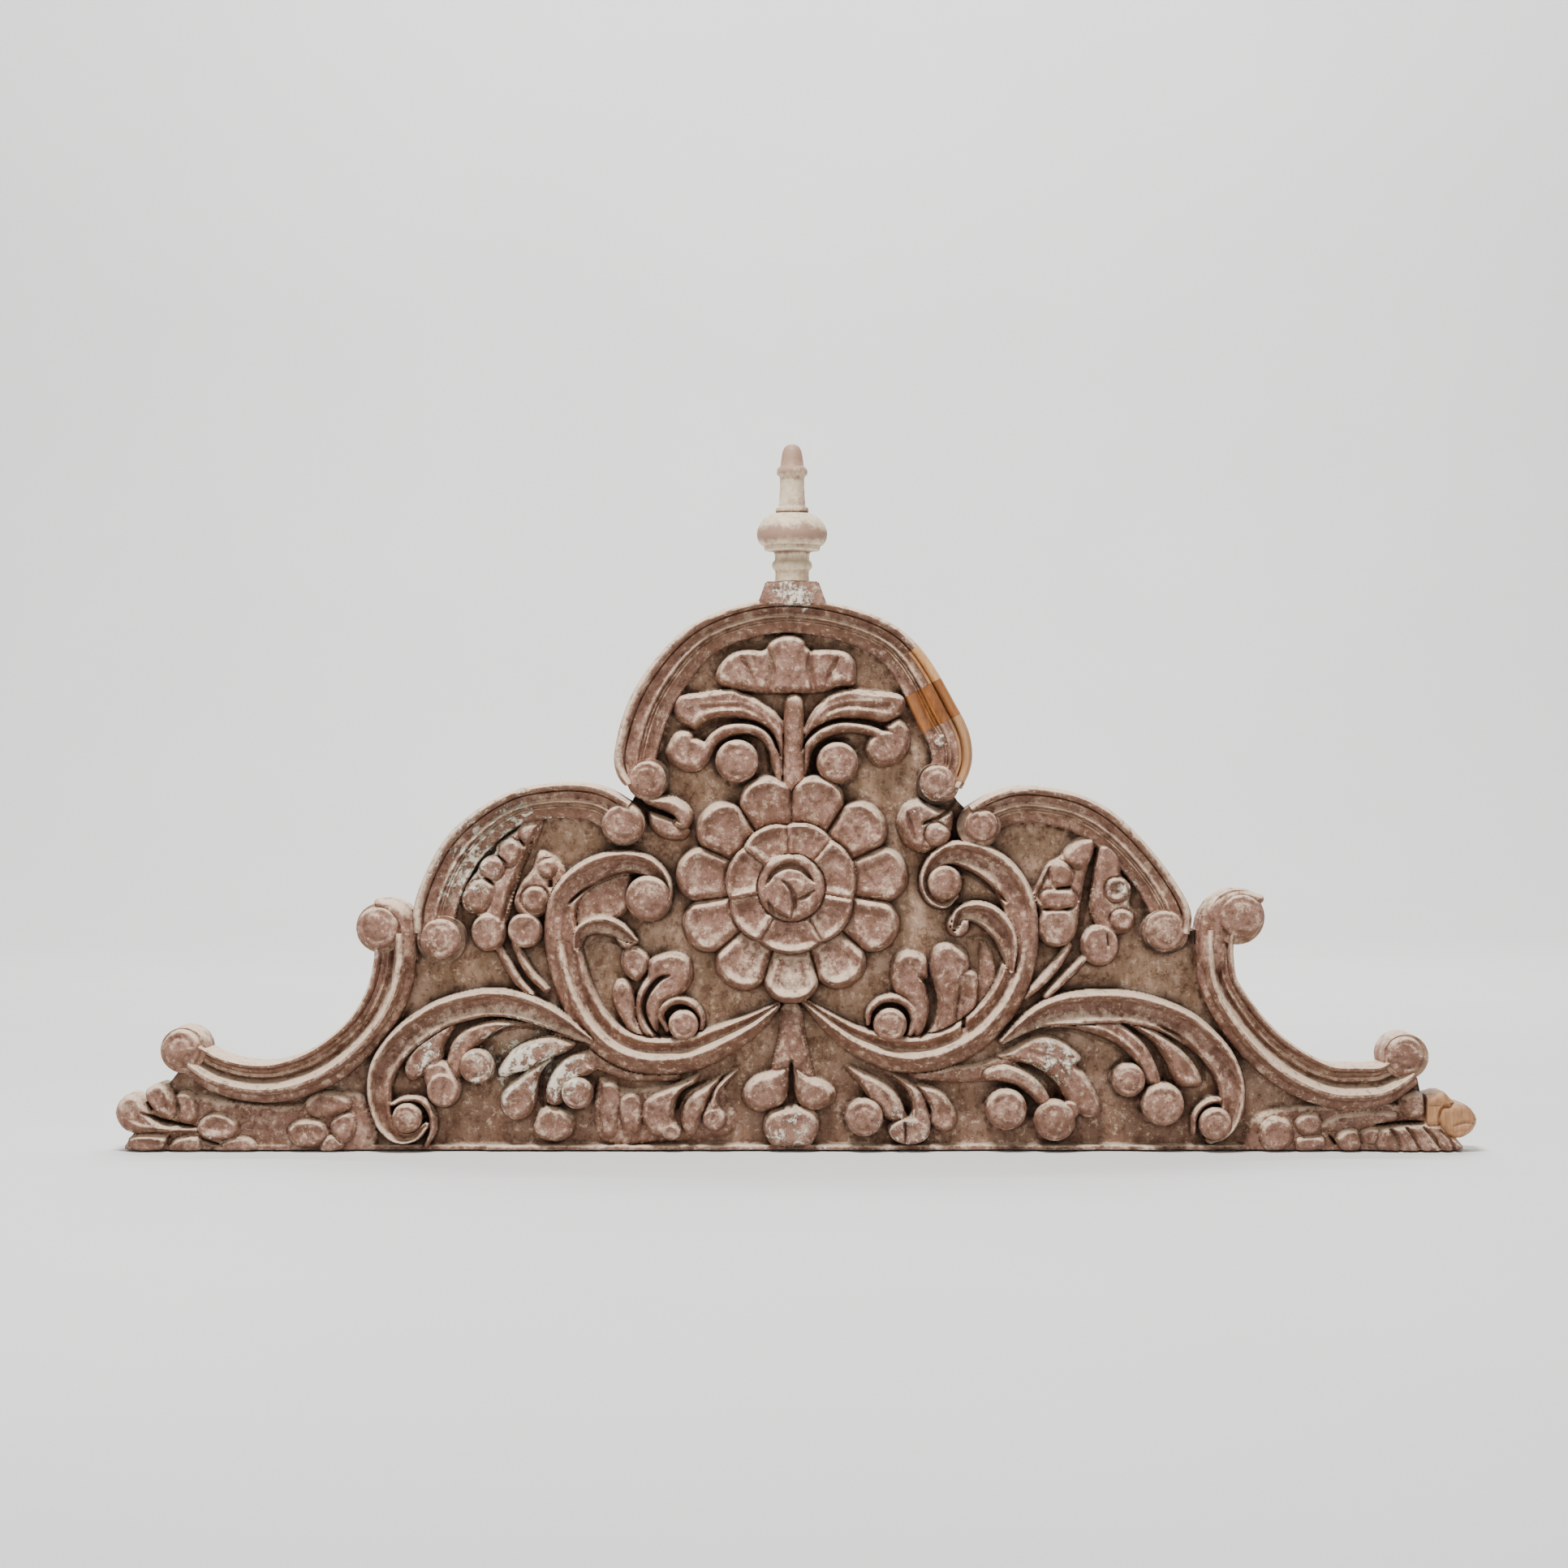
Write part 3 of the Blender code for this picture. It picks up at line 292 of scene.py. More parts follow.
# Leaves as closed outlines: share of the leaf relief, width of the rounded edge, hollow, points
leaves = (
    # pair over the rosette
    (.92, 9, .16, ((838, 855), (860, 853), (899, 848), (915, 853), (930, 858), (945, 868), (960, 882),
        (968, 900), (976, 962), (964, 944), (956, 917), (949, 902), (937, 893), (920, 886), (900, 883),
        (880, 885), (866, 891), (856, 899), (843, 893), (833, 885), (829, 871), (832, 861))),
    (.96, 10, .12, ((858, 908), (848, 899), (834, 901), (824, 913), (819, 928), (828, 942), (840, 949),
        (854, 951), (866, 946), (873, 932), (874, 918))),
    (.92, 9, .16, ((981, 958), (984, 922), (990, 898), (1001, 876), (1014, 862), (1027, 853), (1046, 848),
        (1070, 850), (1094, 852), (1110, 855), (1117, 863), (1114, 876), (1106, 884), (1090, 890),
        (1070, 886), (1050, 885), (1034, 886), (1016, 892), (1001, 903), (992, 916), (988, 940))),
    (.96, 10, .14, ((1107, 885), (1115, 890), (1121, 900), (1122, 915), (1117, 929), (1108, 939),
        (1094, 944), (1080, 943), (1070, 934), (1066, 921), (1074, 906), (1090, 896))),
    # curled leaf ends between the arch and the shoulders
    (1.05, 8, .10, ((799, 1000), (812, 1003), (826, 1008), (842, 1016), (850, 1024), (842, 1034),
        (824, 1034), (810, 1028), (800, 1016))),
    (1.30, 10, .06, ((790, 984), (812, 979), (835, 983), (851, 996), (853, 1012), (843, 1024), (830, 1018),
        (828, 1006), (815, 998), (800, 993))),
    (1.15, 12, .10, ((1105, 1010), (1115, 990), (1135, 985), (1160, 997), (1175, 1001), (1173, 1025),
        (1160, 1042), (1140, 1051), (1120, 1044), (1110, 1030))),
    (1.35, 10, .06, ((1138, 1024), (1146, 1013), (1158, 1012), (1170, 1020), (1172, 1032), (1162, 1043),
        (1148, 1045), (1139, 1036))),
    # inside the left scroll: web, heart and leaf
    (.50, 6, .06, ((700, 1116), (712, 1104), (727, 1094), (747, 1084), (774, 1078), (776, 1100), (774, 1120),
        (760, 1132), (742, 1133), (722, 1138), (706, 1150), (694, 1134))),
    (.95, 8, .10, ((764, 1182), (768, 1171), (779, 1165), (791, 1170), (800, 1181), (797, 1196), (786, 1210),
        (776, 1207), (766, 1195))),
    (.80, 8, .06, ((766, 1206), (778, 1214), (782, 1236), (784, 1258), (796, 1280), (778, 1276), (764, 1256),
        (754, 1234), (756, 1214))),
    (.95, 9, .12, ((798, 1186), (806, 1178), (822, 1173), (838, 1174), (850, 1183), (853, 1200), (849, 1216),
        (840, 1226), (826, 1232), (816, 1240), (812, 1260), (806, 1282), (792, 1274), (784, 1256),
        (783, 1234), (788, 1216), (797, 1202))),
    # inside the right scroll
    (1.0, 10, .12, ((1098, 1194), (1102, 1180), (1114, 1171), (1130, 1173), (1142, 1181), (1144, 1200),
        (1143, 1222), (1146, 1240), (1142, 1262), (1132, 1280), (1122, 1268), (1124, 1250), (1118, 1234),
        (1104, 1224), (1098, 1210))),
    (1.0, 11, .10, ((1147, 1180), (1152, 1167), (1163, 1161), (1178, 1163), (1190, 1172), (1196, 1186),
        (1192, 1204), (1184, 1226), (1180, 1250), (1182, 1276), (1168, 1290), (1148, 1290), (1140, 1280),
        (1152, 1262), (1156, 1238), (1152, 1216), (1146, 1200))),
    (.82, 6, .18, ((1181, 1208), (1186, 1198), (1196, 1196), (1205, 1202), (1207, 1220), (1204, 1240),
        (1196, 1252), (1186, 1268), (1179, 1262), (1180, 1240), (1182, 1222))),
    (.42, 6, 0, ((1208, 1162), (1218, 1166), (1226, 1184), (1228, 1206), (1220, 1228), (1206, 1244),
        (1204, 1220), (1208, 1196))),
    # lower left scroll: three leaves, each with its stalk
    (.94, 8, .10, ((556, 1260), (534, 1270), (516, 1284), (502, 1301), (496, 1320), (504, 1332), (518, 1328),
        (534, 1322), (544, 1306), (548, 1286), (558, 1270))),
    (.88, 9, .10, ((722, 1286), (690, 1272), (650, 1262), (618, 1257), (592, 1261), (570, 1270), (556, 1284),
        (549, 1304), (546, 1326), (564, 1330), (574, 1310), (584, 1294), (600, 1280), (622, 1272),
        (656, 1270), (690, 1279))),
    (.90, 9, .06, ((524, 1312), (542, 1306), (556, 1316), (566, 1334), (564, 1352), (548, 1364), (532, 1358),
        (524, 1342), (520, 1326))),
    (.98, 8, .06, ((708, 1286), (680, 1277), (652, 1283), (634, 1292), (621, 1306), (612, 1322), (618, 1329),
        (634, 1324), (656, 1318), (676, 1306), (700, 1296))),
    (.98, 11, .08, ((676, 1306), (656, 1314), (640, 1326), (624, 1338), (615, 1354), (618, 1372),
        (632, 1382), (648, 1378), (658, 1362), (662, 1342), (666, 1324), (680, 1310))),
    (1.0, 8, .08, ((730, 1296), (708, 1299), (692, 1307), (680, 1322), (673, 1338), (672, 1356), (680, 1364),
        (692, 1360), (696, 1346), (706, 1334), (724, 1326), (738, 1314))),
    (.86, 8, .06, ((664, 1370), (676, 1364), (694, 1368), (706, 1380), (704, 1398), (688, 1408), (668, 1406),
        (656, 1396), (658, 1382))),
    # under the left scroll
    (.62, 7, .06, ((724, 1294), (742, 1298), (770, 1308), (800, 1318), (832, 1322), (836, 1332), (808, 1334),
        (770, 1332), (742, 1322), (722, 1312))),
    (.34, 9, 0, ((736, 1332), (770, 1344), (830, 1338), (880, 1334), (898, 1356), (900, 1398), (820, 1408),
        (740, 1406))),
    (.66, 8, .04, ((742, 1336), (756, 1334), (764, 1350), (762, 1376), (758, 1402), (744, 1404), (738, 1380),
        (738, 1354))),
    (.74, 8, .06, ((766, 1352), (780, 1346), (790, 1358), (792, 1380), (786, 1400), (770, 1402), (764, 1384),
        (762, 1364))),
    (.94, 9, .10, ((862, 1324), (842, 1332), (822, 1340), (804, 1348), (792, 1362), (790, 1380), (798, 1396),
        (814, 1402), (828, 1404), (838, 1394), (832, 1378), (832, 1362), (840, 1348), (856, 1338))),
    (.90, 9, .08, ((890, 1326), (868, 1338), (850, 1350), (840, 1366), (838, 1384), (844, 1398), (856, 1400),
        (863, 1384), (870, 1364), (878, 1346))),
    (.92, 6, 0, ((912, 1316), (896, 1326), (882, 1340), (874, 1358), (866, 1376), (870, 1388), (884, 1392),
        (892, 1382), (888, 1366), (886, 1350), (896, 1336))),
    # hanging leaf of the pendant
    (.80, 10, 0, ((964, 1240), (986, 1240), (992, 1276), (1000, 1310), (1000, 1340), (952, 1340),
        (952, 1310), (960, 1276))),
    (1.0, 11, .10, ((970, 1316), (950, 1320), (930, 1326), (918, 1338), (914, 1352), (921, 1365),
        (936, 1372), (952, 1368), (966, 1360), (972, 1340))),
    (1.0, 11, .10, ((980, 1316), (998, 1326), (1016, 1333), (1029, 1344), (1028, 1358), (1016, 1367),
        (998, 1370), (984, 1360), (978, 1340))),
    (1.0, 10, .04, ((962, 1366), (984, 1364), (1003, 1370), (1010, 1386), (1005, 1404), (994, 1414),
        (956, 1414), (944, 1404), (940, 1386), (948, 1371))),
    # under the right scroll
    (.92, 9, .08, ((1040, 1312), (1062, 1320), (1084, 1330), (1102, 1344), (1114, 1362), (1118, 1378),
        (1108, 1384), (1092, 1380), (1082, 1366), (1070, 1356), (1062, 1342))),
    (.96, 10, .06, ((1100, 1326), (1122, 1334), (1136, 1346), (1144, 1366), (1148, 1386), (1142, 1402),
        (1122, 1411), (1104, 1403), (1094, 1390), (1104, 1382), (1118, 1380), (1124, 1366), (1118, 1346))),
    (.94, 9, .20, ((1130, 1338), (1150, 1340), (1166, 1350), (1176, 1366), (1180, 1382), (1172, 1394),
        (1158, 1395), (1148, 1386), (1146, 1368), (1138, 1352))),
    (.60, 7, .06, ((1122, 1318), (1160, 1316), (1200, 1312), (1240, 1302), (1262, 1308), (1240, 1326),
        (1206, 1334), (1160, 1334), (1126, 1330))),
    # lower right scroll
    (.95, 10, .12, ((1228, 1304), (1246, 1292), (1264, 1282), (1282, 1276), (1302, 1279), (1320, 1290),
        (1335, 1306), (1328, 1314), (1338, 1324), (1350, 1342), (1358, 1362), (1356, 1376), (1340, 1379),
        (1326, 1370), (1314, 1356), (1304, 1338), (1286, 1322), (1256, 1310))),
    (.92, 8, .08, ((1214, 1318), (1240, 1311), (1262, 1318), (1280, 1331), (1293, 1350), (1296, 1368),
        (1284, 1366), (1270, 1352), (1254, 1340), (1232, 1334), (1212, 1332))),
    (.86, 8, .14, ((1262, 1264), (1290, 1260), (1326, 1256), (1360, 1256), (1386, 1264), (1406, 1280),
        (1420, 1300), (1430, 1324), (1432, 1340), (1416, 1338), (1406, 1322), (1396, 1304), (1378, 1288),
        (1352, 1276), (1320, 1268), (1290, 1268))),
    (.92, 9, .14, ((1376, 1252), (1402, 1260), (1426, 1271), (1449, 1287), (1467, 1304), (1480, 1324),
        (1482, 1339), (1456, 1340), (1446, 1328), (1438, 1308), (1424, 1288), (1404, 1272))),
    # left end, on one low mass
    (.46, 9, 0, ((158, 1402), (176, 1378), (204, 1352), (244, 1352), (300, 1362), (360, 1364), (430, 1346),
        (452, 1366), (450, 1419), (300, 1421), (160, 1421))),
    (.94, 9, .14, ((139, 1372), (145, 1356), (158, 1348), (171, 1353), (181, 1367), (192, 1381), (212, 1388),
        (240, 1390), (240, 1397), (206, 1397), (180, 1398), (158, 1397), (145, 1388))),
    (.90, 8, .16, ((178, 1357), (176, 1346), (184, 1338), (197, 1335), (207, 1342), (215, 1358), (216, 1374),
        (207, 1381), (190, 1373))),
    (.84, 7, .14, ((214, 1352), (222, 1345), (234, 1348), (242, 1362), (242, 1380), (232, 1388), (218, 1382),
        (218, 1366))),
    (.86, 8, .10, ((154, 1406), (164, 1399), (186, 1397), (204, 1400), (210, 1408), (200, 1419),
        (166, 1421))),
    (.80, 8, .08, ((206, 1412), (214, 1403), (232, 1399), (246, 1404), (244, 1420), (208, 1421))),
    (.95, 9, .22, ((240, 1390), (246, 1379), (262, 1371), (280, 1374), (293, 1385), (293, 1399), (276, 1408),
        (254, 1407), (243, 1400))),
    (.80, 8, .08, ((262, 1414), (276, 1404), (300, 1400), (314, 1408), (312, 1420), (264, 1421))),
    (.88, 9, .10, ((372, 1368), (377, 1355), (394, 1346), (416, 1347), (432, 1357), (430, 1369), (410, 1377),
        (386, 1379))),
    (.94, 9, .16, ((351, 1396), (358, 1384), (374, 1378), (394, 1381), (404, 1393), (401, 1409), (384, 1416),
        (360, 1413))),
    (.86, 7, .06, ((392, 1412), (402, 1400), (419, 1398), (424, 1412), (412, 1421), (394, 1421))),
    (.86, 7, .08, ((404, 1391), (412, 1377), (428, 1371), (438, 1384), (434, 1404), (418, 1410))),
    # right end
    (.46, 9, 0, ((1540, 1390), (1572, 1368), (1640, 1364), (1757, 1368), (1757, 1421), (1640, 1421),
        (1544, 1421))),
    (.92, 9, .14, ((1552, 1393), (1561, 1380), (1578, 1375), (1593, 1384), (1596, 1404), (1585, 1418),
        (1564, 1420), (1554, 1409))),
    (.86, 8, .14, ((1595, 1385), (1606, 1373), (1623, 1371), (1632, 1384), (1626, 1398), (1606, 1401))),
    (.78, 7, .08, ((1598, 1405), (1612, 1400), (1632, 1401), (1636, 1412), (1622, 1420), (1600, 1420))),
    (.70, 8, .06, ((1626, 1392), (1640, 1377), (1680, 1370), (1722, 1371), (1724, 1383), (1690, 1392),
        (1650, 1397))),
    (.90, 8, .08, ((1646, 1404), (1656, 1392), (1673, 1391), (1680, 1404), (1676, 1419), (1652, 1420))),
    (.80, 8, .12, ((1676, 1397), (1690, 1389), (1704, 1392), (1708, 1404), (1696, 1412), (1680, 1410))),
    (.94, 8, .10, ((1728, 1354), (1742, 1346), (1756, 1350), (1757, 1376), (1740, 1380), (1728, 1370))),
    (.90, 8, .04, ((1700, 1396), (1712, 1388), (1757, 1384), (1777, 1386), (1788, 1399), (1799, 1405),
        (1799, 1420), (1706, 1420))),
    # left shoulder leaf
    (.84, 9, .04, ((668, 1012), (648, 1010), (635, 1022), (624, 1030), (611, 1040), (607, 1051), (592, 1060),
        (585, 1074), (574, 1088), (566, 1108), (572, 1124), (586, 1130), (590, 1150), (612, 1156),
        (622, 1140), (632, 1104), (644, 1066), (660, 1034))),
    (.98, 10, .12, ((664, 1016), (660, 1034), (648, 1042), (639, 1036), (638, 1024), (648, 1014))),
    (.98, 10, .12, ((640, 1036), (644, 1052), (634, 1068), (620, 1070), (610, 1058), (614, 1042),
        (626, 1031))),
    (.98, 10, .12, ((617, 1056), (624, 1070), (616, 1084), (602, 1086), (590, 1078), (588, 1066),
        (600, 1054))),
    (.98, 10, .12, ((598, 1082), (610, 1094), (606, 1112), (596, 1126), (578, 1124), (570, 1112),
        (573, 1096), (584, 1083))),
    (.90, 9, .10, ((684, 1056), (696, 1074), (690, 1094), (680, 1116), (660, 1132), (640, 1128), (632, 1112),
        (640, 1090), (654, 1072), (664, 1048))),
    (1.04, 9, .14, ((672, 1056), (684, 1058), (688, 1070), (682, 1082), (670, 1083), (660, 1074),
        (662, 1062))),
    (1.04, 9, .12, ((658, 1090), (671, 1094), (677, 1108), (670, 1122), (656, 1126), (643, 1118),
        (640, 1104), (647, 1093))),
    # right shoulder leaf
    (.84, 9, .04, ((1352, 1031), (1334, 1030), (1316, 1042), (1306, 1056), (1293, 1064), (1288, 1080),
        (1280, 1094), (1275, 1108), (1280, 1124), (1280, 1146), (1300, 1164), (1324, 1158), (1332, 1124),
        (1338, 1086), (1346, 1056))),
    (.98, 10, .12, ((1350, 1034), (1348, 1056), (1338, 1070), (1324, 1072), (1312, 1062), (1311, 1050),
        (1324, 1038), (1338, 1032))),
    (.98, 10, .12, ((1306, 1059), (1320, 1066), (1326, 1080), (1318, 1094), (1302, 1095), (1292, 1084),
        (1293, 1069))),
    (.98, 10, .12, ((1300, 1093), (1320, 1094), (1330, 1106), (1324, 1120), (1300, 1124), (1284, 1118),
        (1279, 1106), (1286, 1095))),
    (.94, 10, .12, ((1354, 1040), (1370, 1040), (1384, 1058), (1384, 1078), (1396, 1092), (1394, 1112),
        (1400, 1128), (1392, 1146), (1376, 1152), (1356, 1146), (1344, 1120), (1348, 1086), (1350, 1058))),
    (1.06, 8, .42, ((1374, 1079), (1387, 1082), (1393, 1094), (1389, 1108), (1377, 1114), (1364, 1109),
        (1360, 1096), (1364, 1084))),
    (1.04, 8, .14, ((1380, 1118), (1394, 1122), (1400, 1134), (1394, 1147), (1380, 1150), (1368, 1142),
        (1368, 1126))),
)

# Rounded lobes that stand free: x, y, half-width, half-height, turn, share, hollow
lobes = (
    (601, 1149, 22, 24, 0, 1.1, .10), (646, 1147, 22, 22, 0, 1.1, .12), (1303, 1143, 24, 25, 0, 1.1, .10),
    (1356, 1165, 24, 26, 0, 1.12, .10), (771, 1158, 12, 12, 0, 1.05, 0), (1181, 1140, 14, 15, 0, 1.15, .06),
    (545, 1344, 21, 22, 0, 1.1, .08), (827, 1396, 12, 10, 0, 1.0, 0), (1318, 1369, 13, 12, 0, 1.0, .06),
    (1121, 1395, 26, 17, 0, 1.05, .04), (304, 1371, 7, 9, 20, .4, 0), (326, 1374, 8, 7, 0, .35, 0),
    (304, 1388, 8, 6, 0, .35, 0), (1579, 1374, 6, 6, 0, .5, 0), (880, 1380, 15, 14, 0, 1.05, .08),
)
# Raised veins laid on the leaves: height in millimetres, points with widths
ridges = (
    (2.6, ((848, 870, 7), (886, 866, 8), (918, 868, 8), (944, 884, 8), (962, 912, 7), (972, 950, 5))),
    (2.0, ((858, 882, 6), (890, 876, 7), (920, 878, 7), (941, 892, 7), (956, 912, 5))),
    (2.6, ((1106, 866, 7), (1072, 864, 8), (1040, 865, 8), (1016, 876, 8), (998, 898, 7), (985, 940, 5))),
    (2.0, ((1098, 880, 6), (1064, 875, 7), (1036, 876, 7), (1012, 890, 6), (996, 908, 5))),
    (2.2, ((1135, 1004, 5), (1137, 1024, 8), (1134, 1044, 5))), (2.0, ((800, 988, 5), (824, 989, 8),
        (842, 1000, 6))),
    (2.6, ((797, 1188, 5), (797, 1202, 7), (788, 1218, 7), (784, 1240, 7), (788, 1262, 6), (800, 1280, 4))),
    (2.2, ((1142, 1182, 6), (1141, 1200, 8), (1132, 1212, 6))), (2.0, ((1183, 1206, 4), (1181, 1236, 7),
        (1179, 1262, 6))),
    (2.4, ((840, 1340, 5), (827, 1356, 7), (822, 1376, 7), (823, 1398, 6))),
    (2.6, ((906, 1321, 5), (888, 1338, 7), (879, 1358, 8), (877, 1380, 8))),
    (2.0, ((852, 1372, 5), (852, 1384, 7), (848, 1396, 6))),
    (2.4, ((1064, 1336, 6), (1072, 1348, 8), (1074, 1360, 7))), (2.0, ((1082, 1336, 5), (1096, 1352, 7),
        (1104, 1374, 7))),
    (2.2, ((1122, 1338, 5), (1130, 1360, 7), (1134, 1386, 7))), (2.0, ((1142, 1344, 5), (1158, 1348, 7),
        (1170, 1366, 6))),
    (2.0, ((1264, 1290, 5), (1296, 1300, 7), (1318, 1322, 7), (1332, 1352, 6))),
    (1.6, ((1268, 1300, 4), (1298, 1314, 6), (1314, 1334, 6), (1328, 1358, 5))),
    (2.2, ((1290, 1262, 4), (1330, 1262, 6), (1366, 1272, 6), (1394, 1292, 6), (1410, 1318, 6))),
    (2.2, ((1400, 1264, 4), (1426, 1282, 6), (1442, 1304, 6), (1450, 1330, 6))),
    (2.4, ((558, 1284, 5), (580, 1268, 8), (610, 1262, 8), (650, 1266, 5))),
    (1.8, ((150, 1378, 5), (172, 1388, 7), (205, 1391, 6), (240, 1393, 4))),
    (1.6, ((186, 1344, 4), (194, 1358, 5), (202, 1376, 5))), (1.6, ((198, 1342, 4), (206, 1356, 5),
        (210, 1374, 5))),
    (1.6, ((222, 1350, 4), (228, 1364, 5), (232, 1382, 4))), (2.0, ((246, 1382, 5), (262, 1375, 6),
        (284, 1380, 5))),
    (1.6, ((160, 1404, 4), (180, 1403, 6), (204, 1408, 4))), (2.0, ((663, 1322, 4), (660, 1340, 6),
        (658, 1360, 4))),
    (2.2, ((1708, 1394, 5), (1716, 1404, 6), (1722, 1418, 5))), (2.2, ((1722, 1392, 5), (1732, 1404, 6),
        (1738, 1418, 5))),
    (2.2, ((1736, 1391, 5), (1746, 1403, 6), (1754, 1418, 5))), (2.0, ((1760, 1408, 4), (1770, 1418, 5))),
    (2.0, ((1776, 1408, 4), (1786, 1418, 5))),
)
curls = (
    ((868, 936, 12), (876, 915, 16), (890, 903, 17), (907, 897, 17), (925, 898, 17), (941, 906, 17),
        (951, 920, 16), (956, 938, 14), (962, 966, 8)),
    ((1090, 914, 10), (1080, 902, 15), (1060, 895, 16), (1040, 894, 17), (1020, 899, 17), (1004, 908, 17),
        (994, 922, 15), (990, 944, 12), (986, 968, 8)),
    ((822, 1270, 6), (814, 1252, 9), (822, 1238, 11), (838, 1233, 12), (854, 1239, 11), (864, 1254, 9),
        (864, 1270, 6)),
    ((1070, 1262, 6), (1072, 1246, 9), (1086, 1233, 11), (1104, 1231, 12), (1120, 1240, 11),
        (1126, 1258, 10), (1120, 1280, 6)),
    ((482, 1362, 6), (500, 1355, 9), (519, 1358, 10), (530, 1373, 10), (532, 1394, 9), (524, 1412, 6)),
    ((1472, 1398, 6), (1474, 1376, 8), (1484, 1362, 9), (1502, 1357, 9), (1516, 1368, 7)),
    ((612, 1166, 9), (624, 1188, 12), (638, 1210, 12), (654, 1226, 10)),
    ((633, 1164, 9), (644, 1186, 12), (656, 1204, 12), (672, 1220, 10)),
    ((1318, 1166, 9), (1302, 1190, 13), (1284, 1210, 13), (1264, 1228, 10)),
    ((1338, 1180, 9), (1322, 1196, 12), (1306, 1212, 12), (1290, 1228, 9)),
    ((1232, 1058, 6), (1252, 1076, 8), (1268, 1096, 8), (1282, 1116, 6)), ((1274, 1106, 5), (1282, 1088, 6),
        (1292, 1068, 5)),
)
centreStem = ((978, 866, 24), (978, 915, 27), (978, 985, 30))
# Bands that wrap over the upper end of each ear
earCurls = (
    ((1496, 1182, 40), (1496, 1156, 42), (1499, 1133, 40), (1509, 1117, 34), (1528, 1106, 24),
        (1552, 1108, 14)),
    ((500, 1176, 24), (502, 1148, 26), (497, 1130, 26), (484, 1119, 22), (466, 1113, 14)),
)
